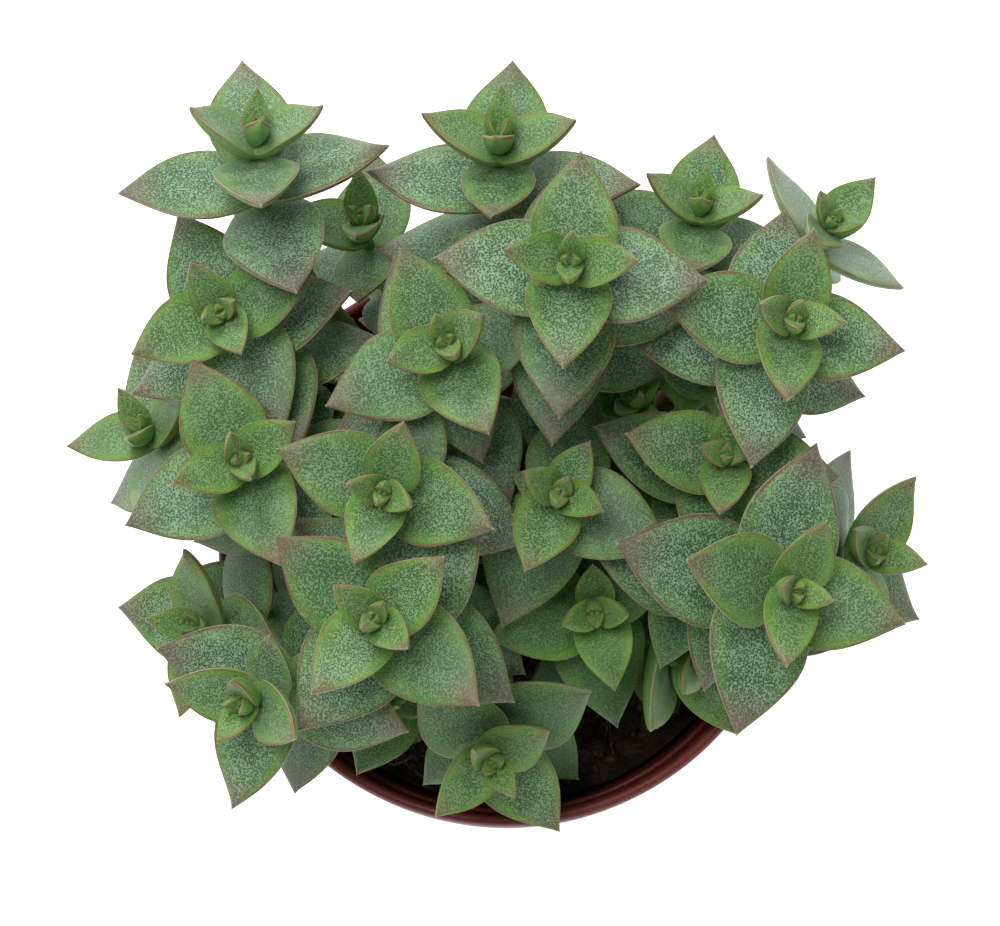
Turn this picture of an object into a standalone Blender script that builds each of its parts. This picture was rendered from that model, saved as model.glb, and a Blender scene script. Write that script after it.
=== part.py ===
"""Potted jade plant: a clump of Crassula shoots, with opposite leaves joined in pairs round
their stems, growing from potting soil in a thin, round, tapered plastic nursery pot.

Metres, +Z up. The pot stands on the plane Z = 0 with its axis on Z, and the plant's front is -Y.
Each shoot is two nodes, the bare lower stem and the leafy upper shoot that stands on it.
"""

import math
from dataclasses import dataclass

import bmesh
import bpy
import numpy as np
from mathutils import Matrix, Vector

# Fit between pieces
CLEARANCE = 0.0003  # between any two pieces that meet

# Pot
RIM_RADIUS = 0.0415  # outside, at the lip
POT_HEIGHT = 0.070
POT_WALL = 0.0012
LIP_WIDTH = 0.0019
COLLAR_HEIGHT = 0.010  # the stepped band under the lip
COLLAR_STEP = 0.0016  # how far the wall steps in below the collar
COLLAR_TAPER = 0.0008  # how much narrower the collar's lower edge is than the lip
FOOT_RADIUS = 0.0293  # outside, where the wall meets the base
BASE_THICKNESS = 0.0015
PAD_RADIUS = 0.0185  # flat middle of the base, which the pot stands on
PAD_DROP = 0.0015  # how far the pad stands below the base's outer ring
DRAIN_HOLES = 6
DRAIN_RADIUS = 0.0025
POT_SIDES = 36

# Soil
SOIL_BELOW_RIM = 0.0125
SOIL_MOUND = 0.0016  # height of the soil's unevenness
SOIL_RINGS = 4

# Stems
STEM_RADIUS = 0.0019  # bare stem, at the soil
SHOOT_RADIUS = 0.0013  # green stem, where the leaves begin
BUD_RADIUS = 0.0006
ROOT_DEPTH = 0.005  # how deep a stem stands in the soil
SOCKET_STEPS = 2
ROOT_REACH = 0.062  # distance of a tip from the pot's axis that roots at ROOT_EDGE
ROOT_EDGE = 0.0075  # nearest that a stem roots to the pot's wall
ROOT_SPACING = 0.0075  # nearest that two stems root to each other
ROOT_ROUNDS = 40  # times that crowded roots are moved apart
RISING = 0.50  # share of a tip's rise above the lip up to which its stem heads straight up
RISING_STEP = 0.002  # how much higher it heads at a time, until it clears the lip
LEANING = 0.30  # share of its length that lies along the lean of its tip
STUB = 0.14  # green stem left under the lowest pair, as a share of the leaf's length
STEM_SIDES = 6
STEM_STEPS = 6

# Leaves. Shares are of a leaf's own length, unless the name says otherwise.
LEAF_WIDTH = 0.215  # half of its width, where it leaves the stem
LEAF_SWELL = 5.2  # how fast it widens beyond that
LEAF_POINT = 1.20  # how sharply it narrows to its tip
LEAF_TOP = 0.035  # bulge of the upper face
LEAF_BELLY = 0.105  # bulge of the lower face
LEAF_STATIONS = (0.28, 0.70)  # where the leaf's outline has points, before its tip
FIRST_PAIR = 2  # nearest the tip; the stem's end stands for the bud inside it
# A pair's age is counted in pairs from the shoot's tip. Length and depth are shares of a
# full-grown leaf, rise is the leaf's angle above the plane across the stem, and curl lifts the
# leaf's tip off the straight line.
AGES = (0, 1, 2, 3, 4, 5, 6, 7, 8, 9, 10, 11)
LENGTH_AT_AGE = (0.06, 0.18, 0.38, 0.62, 0.85, 1.00, 1.03, 1.00, 0.97, 0.95, 0.93, 0.92)
RISE_AT_AGE = (76, 70, 58, 36, 20, 8, 0, -6, -10, -13, -15, -17)  # degrees
DEPTH_AT_AGE = (0.00, 0.03, 0.08, 0.18, 0.34, 0.53, 0.76, 1.04, 1.35, 1.68, 2.02, 2.36)
CURL_AT_AGE = (0.10, 0.10, 0.10, 0.07, 0.03, 0.00, -0.03, -0.05, -0.06, -0.06, -0.06, -0.06)

# How a leaf gives way to its neighbours: it turns up or down, sideways, or stays smaller.
PITCHES = (0, 5, -5, 10, -10, 15, -15, 20, -20)  # degrees
YAWS = (0, 5, -5, 10, -10)  # degrees
GROWN = (1.00, 0.92, 0.84, 0.76, 0.68, 0.60, 0.50, 0.40)  # shares of the free length
COST_PER_DEGREE = 0.16
COST_OF_SIZE = 12.0
BALL_SHARE = 0.075  # radius of the balls that stand for a leaf's body
BALL_STATIONS = (0.0, 0.12, 0.24, 0.36, 0.48, 0.60, 0.72, 0.84, 0.95)
BALL_COLUMNS = (-0.85, -0.43, 0.0, 0.43, 0.85)  # across the leaf, from edge to edge
STEM_BALL = 0.0023
STEM_BALL_STEP = 0.0015
NEIGHBOUR_REACH = 0.003  # more than the radius of any ball and the clearance


@dataclass(frozen=True)
class Shoot:
    """Where one shoot's tip stands, how it leans and how its leaf pairs are set."""

    x: float  # tip, from the pot's axis
    y: float
    rise: float  # tip above the pot's lip
    lean: float  # degrees from upright
    bearing: float  # degrees from +X toward +Y, the way that it leans
    roll: float  # degrees that its leaf pairs are turned about the stem
    age: float  # age of the youngest pair, beyond one
    leaf: float  # length of a full-grown leaf
    pairs: int = 9  # pairs down the shoot, the bud's own pair counted


SHOOTS = (
    Shoot(-0.033, 0.045, 0.052, 30, 65, 95, 0.00, 0.0185, 6),
    Shoot(-0.038, 0.022, 0.044, 15, 290, 120, 0.75, 0.0180),
    Shoot(-0.035, 0.002, 0.044, 10, 330, 115, 0.00, 0.0190),
    Shoot(-0.051, 0.012, 0.020, 15, 150, 105, 0.25, 0.0180, 7),
    Shoot(-0.043, -0.016, 0.020, 15, 180, 170, 0.25, 0.0195, 7),
    Shoot(-0.035, -0.029, 0.034, 30, 215, 70, 0.25, 0.0190, 8),
    Shoot(-0.017, -0.020, 0.050, 5, 235, 140, 0.50, 0.0195),
    Shoot(-0.002, -0.035, 0.020, 20, 290, 130, 0.25, 0.0180, 6),
    Shoot(-0.016, -0.004, 0.052, 20, 255, 160, 0.25, 0.0180),
    Shoot(-0.008, 0.015, 0.056, 5, 295, 115, 0.00, 0.0175, 10),
    Shoot(0.008, 0.023, 0.066, 10, 255, 85, 0.00, 0.0180, 10),
    Shoot(-0.001, 0.045, 0.050, 20, 100, 85, 0.25, 0.0185),
    Shoot(0.026, 0.038, 0.042, 20, 90, 80, 0.00, 0.0165, 8),
    Shoot(0.037, 0.018, 0.056, 10, 310, 170, 0.50, 0.0185),
    Shoot(0.046, 0.042, 0.018, 0, 40, 140, 0.25, 0.0160, 6),
    Shoot(0.007, -0.002, 0.042, 10, 290, 155, 0.50, 0.0185, 8),
    Shoot(0.012, -0.015, 0.024, 20, 245, 10, 0.25, 0.0190, 6),
    Shoot(0.029, 0.003, 0.042, 10, 200, 170, 0.00, 0.0185),
    Shoot(0.037, -0.017, 0.052, 15, 310, 165, 0.00, 0.0200),
    Shoot(-0.020, 0.039, 0.030, 10, 100, 90, 0.50, 0.0175, 7),
    Shoot(0.051, -0.005, 0.016, 5, 350, 160, 0.50, 0.0190, 7),
    Shoot(0.017, 0.014, 0.028, 10, 120, 50, 0.50, 0.0175, 7),
    Shoot(0.027, -0.020, 0.010, 20, 300, 25, 0.50, 0.0185, 6),
    Shoot(-0.016, -0.026, 0.018, 10, 250, 60, 0.50, 0.0150, 6),
    Shoot(-0.022, 0.023, 0.022, 10, 90, 35, 0.50, 0.0175, 6),
)


def clear_scene() -> None:
    """Remove every object of the open scene."""
    for thing in list(bpy.data.objects):
        bpy.data.objects.remove(thing, do_unlink=True)


def make_material(name: str, colour: tuple, roughness: float):
    """Make a plain Principled material from a linear colour."""
    material = bpy.data.materials.new(name)
    material.use_nodes = True
    shader = material.node_tree.nodes["Principled BSDF"]
    shader.inputs["Base Color"].default_value = (*colour, 1.0)
    shader.inputs["Roughness"].default_value = roughness
    shader.inputs["Metallic"].default_value = 0.0
    return material


def finish_object(name: str, bm, material, smooth: bool = True):
    """Turn a bmesh into a named object of the scene and give it its material."""
    bmesh.ops.recalc_face_normals(bm, faces=bm.faces)
    mesh = bpy.data.meshes.new(name)
    bm.to_mesh(mesh)
    bm.free()
    mesh.polygons.foreach_set("use_smooth", [smooth] * len(mesh.polygons))
    if material is not None:
        mesh.materials.append(material)
    thing = bpy.data.objects.new(name, mesh)
    bpy.context.scene.collection.objects.link(thing)
    return thing


def make_cutter(name: str, bm):
    """Make a helper object, hidden from the render and drawn as wire, for a Boolean."""
    cutter = finish_object(name, bm, None, smooth=False)
    cutter.hide_render = True
    cutter.display_type = "WIRE"
    return cutter


def apply_boolean(thing, helper, operation: str) -> None:
    """Combine an object with a helper by the exact solver and remove the helper."""
    modifier = thing.modifiers.new("combine", "BOOLEAN")
    modifier.operation = operation
    modifier.solver = "EXACT"
    modifier.object = helper
    bake_modifiers(thing)
    bpy.data.objects.remove(helper, do_unlink=True)


def bake_modifiers(thing) -> None:
    """Replace an object's mesh by what its modifiers make of it."""
    depsgraph = bpy.context.evaluated_depsgraph_get()
    baked = bpy.data.meshes.new_from_object(thing.evaluated_get(depsgraph))
    thing.modifiers.clear()
    thing.data = baked


def revolve(bm, profile, sides: int) -> None:
    """Add the closed solid that a profile of (radius, z) points sweeps round the Z axis.

    A point with no radius is one vertex on the axis, and every other point is a ring.
    """
    turns = [2 * math.pi * i / sides for i in range(sides)]
    rings = []
    for radius, z in profile:
        if radius == 0:
            rings.append([bm.verts.new((0, 0, z))] * sides)
        else:
            rings.append([bm.verts.new((radius * math.cos(t), radius * math.sin(t), z)) for t in turns])
    for low, high in zip(rings, rings[1:]):
        for i in range(sides):
            j = (i + 1) % sides
            corners = dict.fromkeys((low[i], low[j], high[j], high[i]))
            bm.faces.new(list(corners))


def loft(bm, rings) -> None:
    """Skin a list of rings of points and close both ends; an end ring of one point is a tip."""
    made = [[bm.verts.new(p) for p in ring] for ring in rings]
    for low, high in zip(made, made[1:]):
        count = max(len(low), len(high))
        for i in range(count):
            j = (i + 1) % count
            corners = (low[i % len(low)], low[j % len(low)], high[j % len(high)], high[i % len(high)])
            bm.faces.new(list(dict.fromkeys(corners)))
    for end in (made[0], made[-1]):
        if len(end) > 1:
            bm.faces.new(end)


# ---------------------------------------------------------------- pot and soil


def wall_outside(z: float) -> float:
    """Outer radius of the pot's tapered wall at a height, below its collar."""
    top = POT_HEIGHT - COLLAR_HEIGHT
    share = (z - PAD_DROP) / (top - PAD_DROP)
    return FOOT_RADIUS + share * (RIM_RADIUS - COLLAR_TAPER - COLLAR_STEP - FOOT_RADIUS)


def wall_inside(z: float) -> float:
    """Inner radius of the pot's tapered wall at a height, below its collar."""
    return wall_outside(z) - POT_WALL


def room_inside(z: float) -> float:
    """Radius that is free of the pot at a height, inside it or above it."""
    if z > POT_HEIGHT:
        return math.inf
    if z > POT_HEIGHT - COLLAR_HEIGHT + POT_WALL:
        return RIM_RADIUS - LIP_WIDTH - COLLAR_TAPER
    return wall_inside(z)


def soil_level() -> float:
    """Height of the soil's mean surface."""
    return POT_HEIGHT - SOIL_BELOW_RIM


def build_pot(material):
    """Pot: a turned shell with a stepped collar, a raised base ring and its drain holes."""
    collar_foot = POT_HEIGHT - COLLAR_HEIGHT
    ledge = collar_foot + POT_WALL
    floor = PAD_DROP + BASE_THICKNESS
    collar_inside = RIM_RADIUS - LIP_WIDTH
    profile = (
        (0, 0),
        (PAD_RADIUS, 0),
        (PAD_RADIUS + PAD_DROP, PAD_DROP),
        (FOOT_RADIUS, PAD_DROP),
        (wall_outside(collar_foot), collar_foot),
        (RIM_RADIUS - COLLAR_TAPER, collar_foot),
        (RIM_RADIUS, POT_HEIGHT - LIP_WIDTH / 2),
        (RIM_RADIUS - LIP_WIDTH / 4, POT_HEIGHT),
        (collar_inside + LIP_WIDTH / 4, POT_HEIGHT),
        (collar_inside, POT_HEIGHT - LIP_WIDTH / 2),
        (collar_inside - COLLAR_TAPER, ledge),
        (wall_inside(collar_foot), ledge),
        (wall_inside(floor), floor),
        (PAD_RADIUS + PAD_DROP, floor),
        (PAD_RADIUS, BASE_THICKNESS),
        (0, BASE_THICKNESS),
    )
    bm = bmesh.new()
    revolve(bm, profile, POT_SIDES)
    pot = finish_object("pot", bm, material)
    cut = bmesh.new()
    drain_ring = (PAD_RADIUS + PAD_DROP + wall_inside(floor)) / 2
    for i in range(DRAIN_HOLES):
        turn = 2 * math.pi * (i + 0.5) / DRAIN_HOLES
        centre = (drain_ring * math.cos(turn), drain_ring * math.sin(turn), floor)
        bmesh.ops.create_cone(
            cut, cap_ends=True, segments=12, radius1=DRAIN_RADIUS, radius2=DRAIN_RADIUS,
            depth=4 * BASE_THICKNESS, matrix=Matrix.Translation(centre),
        )
    apply_boolean(pot, make_cutter("drain_cutter", cut), "DIFFERENCE")
    return pot


def soil_height(x: float, y: float) -> float:
    """Height of the soil's uneven surface: the mean level and a few long, low waves."""
    wave = math.sin(210 * x + 0.7) * math.cos(170 * y - 0.4) + 0.5 * math.sin(390 * y + 240 * x)
    return soil_level() + SOIL_MOUND * wave / 3


def build_soil(material, routes):
    """Soil: the filling of the pot, with a socket for the foot of each stem."""
    floor = PAD_DROP + BASE_THICKNESS + CLEARANCE
    pad = BASE_THICKNESS + CLEARANCE
    top = soil_level() - 2 * SOIL_MOUND
    bm = bmesh.new()
    lower = (
        (0, pad),
        (PAD_RADIUS - CLEARANCE, pad),
        (PAD_RADIUS + PAD_DROP - CLEARANCE, floor),
        (wall_inside(floor) - CLEARANCE, floor),
        (wall_inside(top) - CLEARANCE, top),
    )
    revolve(bm, lower, POT_SIDES)
    bm.verts.ensure_lookup_table()
    below = [bm.verts[i] for i in range(len(bm.verts) - POT_SIDES, len(bm.verts))]
    edge = wall_inside(soil_level() - SOIL_MOUND) - 2 * CLEARANCE
    for ring in range(SOIL_RINGS, 0, -1):
        radius = edge * ring / SOIL_RINGS
        above = []
        for i in range(POT_SIDES):
            turn = 2 * math.pi * i / POT_SIDES
            x, y = radius * math.cos(turn), radius * math.sin(turn)
            above.append(bm.verts.new((x, y, soil_height(x, y))))
        for i in range(POT_SIDES):
            j = (i + 1) % POT_SIDES
            bm.faces.new((below[i], below[j], above[j], above[i]))
        below = above
    centre = bm.verts.new((0, 0, soil_height(0, 0)))
    for i in range(POT_SIDES):
        bm.faces.new((below[i], below[(i + 1) % POT_SIDES], centre))
    soil = finish_object("potting_soil", bm, material)
    cut = bmesh.new()
    for route in routes:
        heights = [2 * ROOT_DEPTH * i / SOCKET_STEPS for i in range(SOCKET_STEPS + 1)]
        points = [route.at(route.length - h)[0] for h in heights]
        points[0].z -= CLEARANCE
        loft(cut, tube_rings(points, [STEM_RADIUS + 2 * CLEARANCE] * len(points), 8))
    apply_boolean(soil, make_cutter("socket_cutter", cut), "DIFFERENCE")
    return soil


# ---------------------------------------------------------------- routes of the shoots


class Route:
    """Curve of one shoot, from its root in the soil to its tip, with a frame that follows it."""

    SAMPLES = 97

    def __init__(self, shoot: Shoot, root: Vector):
        self.shoot = shoot
        self.root = root
        self.tip = Vector((shoot.x, shoot.y, POT_HEIGHT + shoot.rise))
        lean, bearing = math.radians(shoot.lean), math.radians(shoot.bearing)
        flat = Vector((math.cos(bearing), math.sin(bearing), 0))
        self.axis = flat * math.sin(lean) + Vector((0, 0, 1)) * math.cos(lean)
        heading = POT_HEIGHT + RISING * shoot.rise
        self.points = self.curve(heading)
        while self.meets_pot() and heading < self.tip.z:
            heading += RISING_STEP
            self.points = self.curve(heading)
        self.depths = [0.0]
        for a, b in zip(self.points, self.points[1:]):
            self.depths.append(self.depths[-1] + (b - a).length)
        tilt = Vector((0, 0, 1)).rotation_difference(self.axis)
        roll = math.radians(shoot.roll)
        self.side = tilt @ Vector((math.cos(roll), math.sin(roll), 0))

    def curve(self, heading: float):
        """Points from the tip down to the root, for a stem that heads straight up to a height."""
        back = self.axis * LEANING * (self.tip - self.root).length
        bends = (self.tip, self.tip - back, Vector((self.root.x, self.root.y, heading)), self.root)
        return [bezier(bends, i / (self.SAMPLES - 1)) for i in range(self.SAMPLES)]

    def meets_pot(self) -> bool:
        """Whether the stem comes too near to the pot's wall or lip."""
        room = STEM_RADIUS + CLEARANCE
        return any(math.hypot(p.x, p.y) + room > room_inside(p.z - room) for p in self.points)

    @property
    def length(self) -> float:
        """Length of the whole shoot."""
        return self.depths[-1]

    def at(self, depth: float):
        """Point, upward direction and side direction at a distance below the tip."""
        depth = min(max(depth, 0.0), self.length)
        i = max(1, int(np.searchsorted(self.depths, depth)))
        share = (depth - self.depths[i - 1]) / (self.depths[i] - self.depths[i - 1])
        point = self.points[i - 1].lerp(self.points[i], share)
        up = (self.points[i - 1] - self.points[i]).normalized()
        side = (self.side - up * self.side.dot(up)).normalized()
        return point, up, side

    def leaf_depth(self, number: int) -> float:
        """Distance below the tip of a leaf pair, counted from the tip."""
        return at_age(DEPTH_AT_AGE, number + self.shoot.age) * self.shoot.leaf

    def leafy_length(self) -> float:
        """Length of the green shoot that carries the leaves."""
        return self.leaf_depth(self.shoot.pairs) + STUB * self.shoot.leaf


def place_roots(shoots):
    """Foot of each stem: below its tip but drawn in toward the pot's axis, and apart from the others."""
    edge = wall_inside(soil_level()) - ROOT_EDGE
    foot = soil_level() - ROOT_DEPTH
    roots = [Vector((s.x, s.y, 0)) * (edge / ROOT_REACH) for s in shoots]
    for _ in range(ROOT_ROUNDS):
        for i, root in enumerate(roots):
            for other in roots[:i]:
                apart = root - other
                short = ROOT_SPACING - apart.length
                if short > 0:
                    root += apart.normalized() * short / 2
                    other -= apart.normalized() * short / 2
            if root.length > edge:
                root *= edge / root.length
    return [root + Vector((0, 0, foot)) for root in roots]


def bezier(bends, t: float):
    """Point of a cubic Bezier curve."""
    a, b, c, d = bends
    s = 1 - t
    return a * s**3 + b * 3 * s * s * t + c * 3 * s * t * t + d * t**3


def at_age(values, age: float) -> float:
    """Value of a growth series at a pair's age."""
    return float(np.interp(age, AGES, values))


def tube_rings(points, radii, sides: int):
    """Rings of points for a round tube along a list of points."""
    rings = []
    for i, (point, radius) in enumerate(zip(points, radii)):
        ahead = points[min(i + 1, len(points) - 1)] - points[max(i - 1, 0)]
        across = ahead.orthogonal().normalized() if i == 0 else across
        across = (across - ahead.normalized() * across.dot(ahead.normalized())).normalized()
        over = ahead.normalized().cross(across)
        turns = [2 * math.pi * k / sides for k in range(sides)]
        rings.append([point + (across * math.cos(t) + over * math.sin(t)) * radius for t in turns])
    return rings


# ---------------------------------------------------------------- leaves


def half_width(share: float) -> float:
    """Half of a leaf's width at a share of its length: widest at a third, then narrowing to a point."""
    return LEAF_WIDTH * (1 - share) ** LEAF_POINT * (1 + LEAF_SWELL * share)


def fullness(share: float) -> float:
    """How full the leaf's body is at a share of its length."""
    return (1 - share) ** 0.6 * (1 + 0.8 * share)


@dataclass
class Leaf:
    """One leaf: where it leaves its stem, the frame it grows in, and its size and curl."""

    owner: int
    pair: int
    base: Vector
    outward: Vector
    up: Vector
    rise: float
    length: float
    curl: float

    def turned(self, pitch: float, yaw: float, grown: float) -> "Leaf":
        """The same leaf, turned up by pitch and sideways by yaw, in degrees, and resized."""
        outward = Matrix.Rotation(math.radians(yaw), 3, self.up) @ self.outward
        return Leaf(self.owner, self.pair, self.base, outward, self.up, self.rise + pitch,
                    self.length * grown, self.curl)

    def frame(self):
        """Directions along the leaf, across it, and out of its upper face."""
        rise = math.radians(self.rise)
        along = self.outward * math.cos(rise) + self.up * math.sin(rise)
        face = self.up * math.cos(rise) - self.outward * math.sin(rise)
        return along, self.up.cross(self.outward), face

    def place(self, share, aside, lift):
        """Points of the leaf, as rows, from shares of its length along, across and out of its face."""
        along, across, face = (np.array(v) for v in self.frame())
        lift = lift + self.curl * share**2
        rows = share[:, None] * along + aside[:, None] * across + lift[:, None] * face
        return np.array(self.base) + rows * self.length

    def balls(self):
        """Centres of the balls that stand for the leaf's body."""
        share, column = np.meshgrid(BALL_STATIONS, BALL_COLUMNS, indexing="ij")
        share, column = share.ravel(), column.ravel()
        middle = (LEAF_TOP - LEAF_BELLY) / 2
        return self.place(share, column * half_width(share), middle * fullness(share))

    def rings(self):
        """Outline of the leaf as rings of four points, from its base to its tip."""
        rings = []
        for station in LEAF_STATIONS:
            share = np.full(4, station)
            wide, full = half_width(station), fullness(station)
            aside = np.array((-wide, 0, wide, 0))
            lift = np.array((0, LEAF_TOP * full, 0, -LEAF_BELLY * full))
            rings.append(self.place(share, aside, lift))
        return rings

    def tip(self):
        """The leaf's point."""
        return self.place(np.ones(1), np.zeros(1), np.zeros(1))


def add_pair(bm, leaf: Leaf, other: Leaf) -> None:
    """Add two opposite leaves as one closed solid, joined across the stem between them."""
    size = (leaf.length + other.length) / 2
    across = np.array(leaf.up.cross(leaf.outward - other.outward).normalized())
    up, base = np.array(leaf.up), np.array(leaf.base)
    wide = across * half_width(0) * size
    waist = [base - wide, base + up * LEAF_TOP * size, base + wide, base - up * LEAF_BELLY * size]
    mirrored = [ring[[2, 1, 0, 3]] for ring in other.rings()]
    rings = [leaf.tip(), *reversed(leaf.rings()), waist, *mirrored, other.tip()]
    loft(bm, rings)


def free_leaves(owner: int, route: Route):
    """The leaves of a shoot as they would grow with no neighbours, youngest pair first."""
    leaves = []
    shoot = route.shoot
    for number in range(FIRST_PAIR, shoot.pairs + 1):
        age = number + shoot.age
        base, up, side = route.at(route.leaf_depth(number))
        for half in range(2):
            turn = Matrix.Rotation(math.pi * half + math.pi / 2 * (number % 2), 3, up)
            leaves.append(Leaf(owner, number, base, turn @ side, up, at_age(RISE_AT_AGE, age),
                               shoot.leaf * at_age(LENGTH_AT_AGE, age), at_age(CURL_AT_AGE, age)))
    return leaves


class Neighbours:
    """The balls of all stems and of the leaves that already have their place."""

    def __init__(self, routes):
        self.centres, self.radii, self.owners = np.empty((0, 3)), np.empty(0), np.empty(0, int)
        for owner, route in enumerate(routes):
            steps = np.arange(0.0, route.length, STEM_BALL_STEP)
            self.add(np.array([route.at(d)[0] for d in steps]), STEM_BALL, owner)

    def add(self, centres, radius: float, owner: int) -> None:
        """Record balls of one radius that belong to a shoot."""
        self.centres = np.concatenate([self.centres, centres])
        self.radii = np.concatenate([self.radii, np.full(len(centres), radius)])
        self.owners = np.concatenate([self.owners, np.full(len(centres), owner)])

    def clearance(self, leaf: Leaf) -> float:
        """Smallest gap between a leaf and the other shoots, the pot and the soil."""
        balls, radius = leaf.balls(), BALL_SHARE * leaf.length
        middle = balls.mean(axis=0)
        reach = np.abs(balls - middle).max() + radius + NEIGHBOUR_REACH
        near = (np.abs(self.centres - middle).max(axis=1) < reach) & (self.owners != leaf.owner)
        gaps = [NEIGHBOUR_REACH]
        if near.any():
            apart = np.sqrt(sum((balls[:, None, k] - self.centres[near, k]) ** 2 for k in range(3)))
            gaps.append(float((apart - self.radii[near]).min()) - radius)
        reach, height = np.hypot(balls[:, 0], balls[:, 1]), balls[:, 2] - radius
        gaps.append(float((height - soil_level() - SOIL_MOUND).min()))
        over_lip = (reach + radius > wall_inside(soil_level())) & (reach - radius < RIM_RADIUS)
        if over_lip.any():
            gaps.append(float((height[over_lip] - POT_HEIGHT).min()))
        return min(gaps)


def settle_leaves(routes):
    """Give every leaf its place: the highest first, each next one as near as it can to how it
    would grow freely while it stays clear of the other shoots, the pot and the soil.

    Returns the leaves of each shoot.
    """
    ways = [(p, y, g) for p in PITCHES for y in YAWS for g in GROWN]
    ways.sort(key=lambda w: COST_PER_DEGREE * (abs(w[0]) + abs(w[1])) + COST_OF_SIZE * (1 - w[2]))
    neighbours = Neighbours(routes)
    waiting = [leaf for i, route in enumerate(routes) for leaf in free_leaves(i, route)]
    waiting.sort(key=lambda leaf: -leaf.balls()[:, 2].mean())
    settled = [[] for _ in routes]
    for leaf in waiting:
        tries = (leaf.turned(*way) for way in ways)
        placed = next((t for t in tries if neighbours.clearance(t) > CLEARANCE), None)
        if placed is None:
            placed = max((leaf.turned(p, y, GROWN[-1]) for p in PITCHES for y in YAWS),
                         key=neighbours.clearance)
        neighbours.add(placed.balls(), BALL_SHARE * placed.length, placed.owner)
        settled[leaf.owner].append(placed)
    return settled


# ---------------------------------------------------------------- nodes of a shoot


def build_leafy_shoot(name: str, route: Route, leaves, material):
    """Leafy shoot: the green stem with its bud, and its leaf pairs grown together with it."""
    length = route.leafy_length()
    depths = [length * (1 - i / STEM_STEPS) for i in range(STEM_STEPS)]
    points = [route.at(d)[0] for d in depths]
    radii = [BUD_RADIUS + (SHOOT_RADIUS - BUD_RADIUS) * d / length for d in depths]
    bm = bmesh.new()
    loft(bm, tube_rings(points, radii, STEM_SIDES) + [[route.tip]])
    shoot = finish_object(name, bm, material)
    helpers = bpy.data.collections.new(f"{name}_leaves")
    leaves = sorted(leaves, key=lambda leaf: leaf.pair)
    for leaf, other in zip(leaves[::2], leaves[1::2]):
        body = bmesh.new()
        add_pair(body, leaf, other)
        helpers.objects.link(make_cutter(f"{name}_pair", body))
    modifier = shoot.modifiers.new("grown_together", "BOOLEAN")
    modifier.operation = "UNION"
    modifier.solver = "EXACT"
    modifier.operand_type = "COLLECTION"
    modifier.collection = helpers
    bake_modifiers(shoot)
    for cutter in list(helpers.objects):
        bpy.data.objects.remove(cutter, do_unlink=True)
    bpy.data.collections.remove(helpers)
    return shoot


def build_stem(name: str, route: Route, material):
    """Bare stem: from its foot in the soil up to the green shoot, with a gap under it."""
    top, foot = route.leafy_length() + CLEARANCE, route.length
    share = [i / STEM_STEPS for i in range(STEM_STEPS + 1)]
    points = [route.at(foot + (top - foot) * s)[0] for s in share]
    radii = [STEM_RADIUS + (SHOOT_RADIUS - STEM_RADIUS) * s for s in share]
    bm = bmesh.new()
    loft(bm, tube_rings(points, radii, STEM_SIDES))
    return finish_object(name, bm, material)


def main() -> None:
    """Build every node of the potted plant."""
    clear_scene()
    pot_plastic = make_material("pot_plastic", (0.165, 0.045, 0.032), 0.45)
    soil = make_material("soil", (0.022, 0.016, 0.012), 0.95)
    stem_bark = make_material("stem_bark", (0.16, 0.10, 0.055), 0.85)
    leaf_green = make_material("leaf_green", (0.10, 0.20, 0.075), 0.55)
    routes = [Route(shoot, root) for shoot, root in zip(SHOOTS, place_roots(SHOOTS))]
    build_pot(pot_plastic)
    build_soil(soil, routes)
    for i, (route, leaves) in enumerate(zip(routes, settle_leaves(routes)), start=1):
        build_stem(f"stem_{i:02d}", route, stem_bark)
        build_leafy_shoot(f"leaves_{i:02d}", route, leaves, leaf_green)


if __name__ == "__main__":
    main()
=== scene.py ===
"""Potted jade plant: the finished look of a clump of Crassula shoots in a plastic nursery pot.

Metres, +Z up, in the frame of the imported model. The planting plan repeats the model's own: where
each shoot's tip stands, how its stem runs down to the soil, and how its leaves give way to their
neighbours. Every leaf pair, stem, grain and wall is then worked out as a fine surface on it.
"""

import logging
import math
from dataclasses import dataclass, field
from enum import Enum
from typing import Any, Iterable, Sequence

import bpy
import numpy as np
from mathutils import Matrix, Vector


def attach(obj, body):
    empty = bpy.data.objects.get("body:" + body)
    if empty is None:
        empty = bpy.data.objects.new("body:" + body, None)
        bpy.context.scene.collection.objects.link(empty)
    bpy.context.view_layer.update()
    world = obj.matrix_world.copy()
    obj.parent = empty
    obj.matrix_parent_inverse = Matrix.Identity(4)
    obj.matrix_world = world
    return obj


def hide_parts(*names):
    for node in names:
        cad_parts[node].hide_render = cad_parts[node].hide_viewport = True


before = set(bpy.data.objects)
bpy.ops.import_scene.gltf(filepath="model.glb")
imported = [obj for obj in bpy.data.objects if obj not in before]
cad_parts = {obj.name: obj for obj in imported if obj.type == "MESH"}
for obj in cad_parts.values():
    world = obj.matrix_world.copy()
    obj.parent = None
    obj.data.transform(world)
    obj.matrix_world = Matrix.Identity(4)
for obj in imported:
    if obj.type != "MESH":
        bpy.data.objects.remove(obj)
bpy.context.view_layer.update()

logging.basicConfig(level=logging.INFO, format="%(name)s: %(message)s")
log = logging.getLogger("jade_plant")

Array = np.ndarray
TAU = 2 * math.pi


# ---------------------------------------------------------------- small tools


def linear(code: str) -> tuple[float, float, float, float]:
    """Turn an sRGB hex colour into linear values.

    Args:
        code: Colour as "#rrggbb".

    Returns:
        Linear red, green and blue, with an alpha of 1.
    """
    parts = [int(code[i:i + 2], 16) / 255 for i in (1, 3, 5)]
    red, green, blue = (p / 12.92 if p <= 0.04045 else ((p + 0.055) / 1.055) ** 2.4 for p in parts)
    return red, green, blue, 1.0


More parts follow.
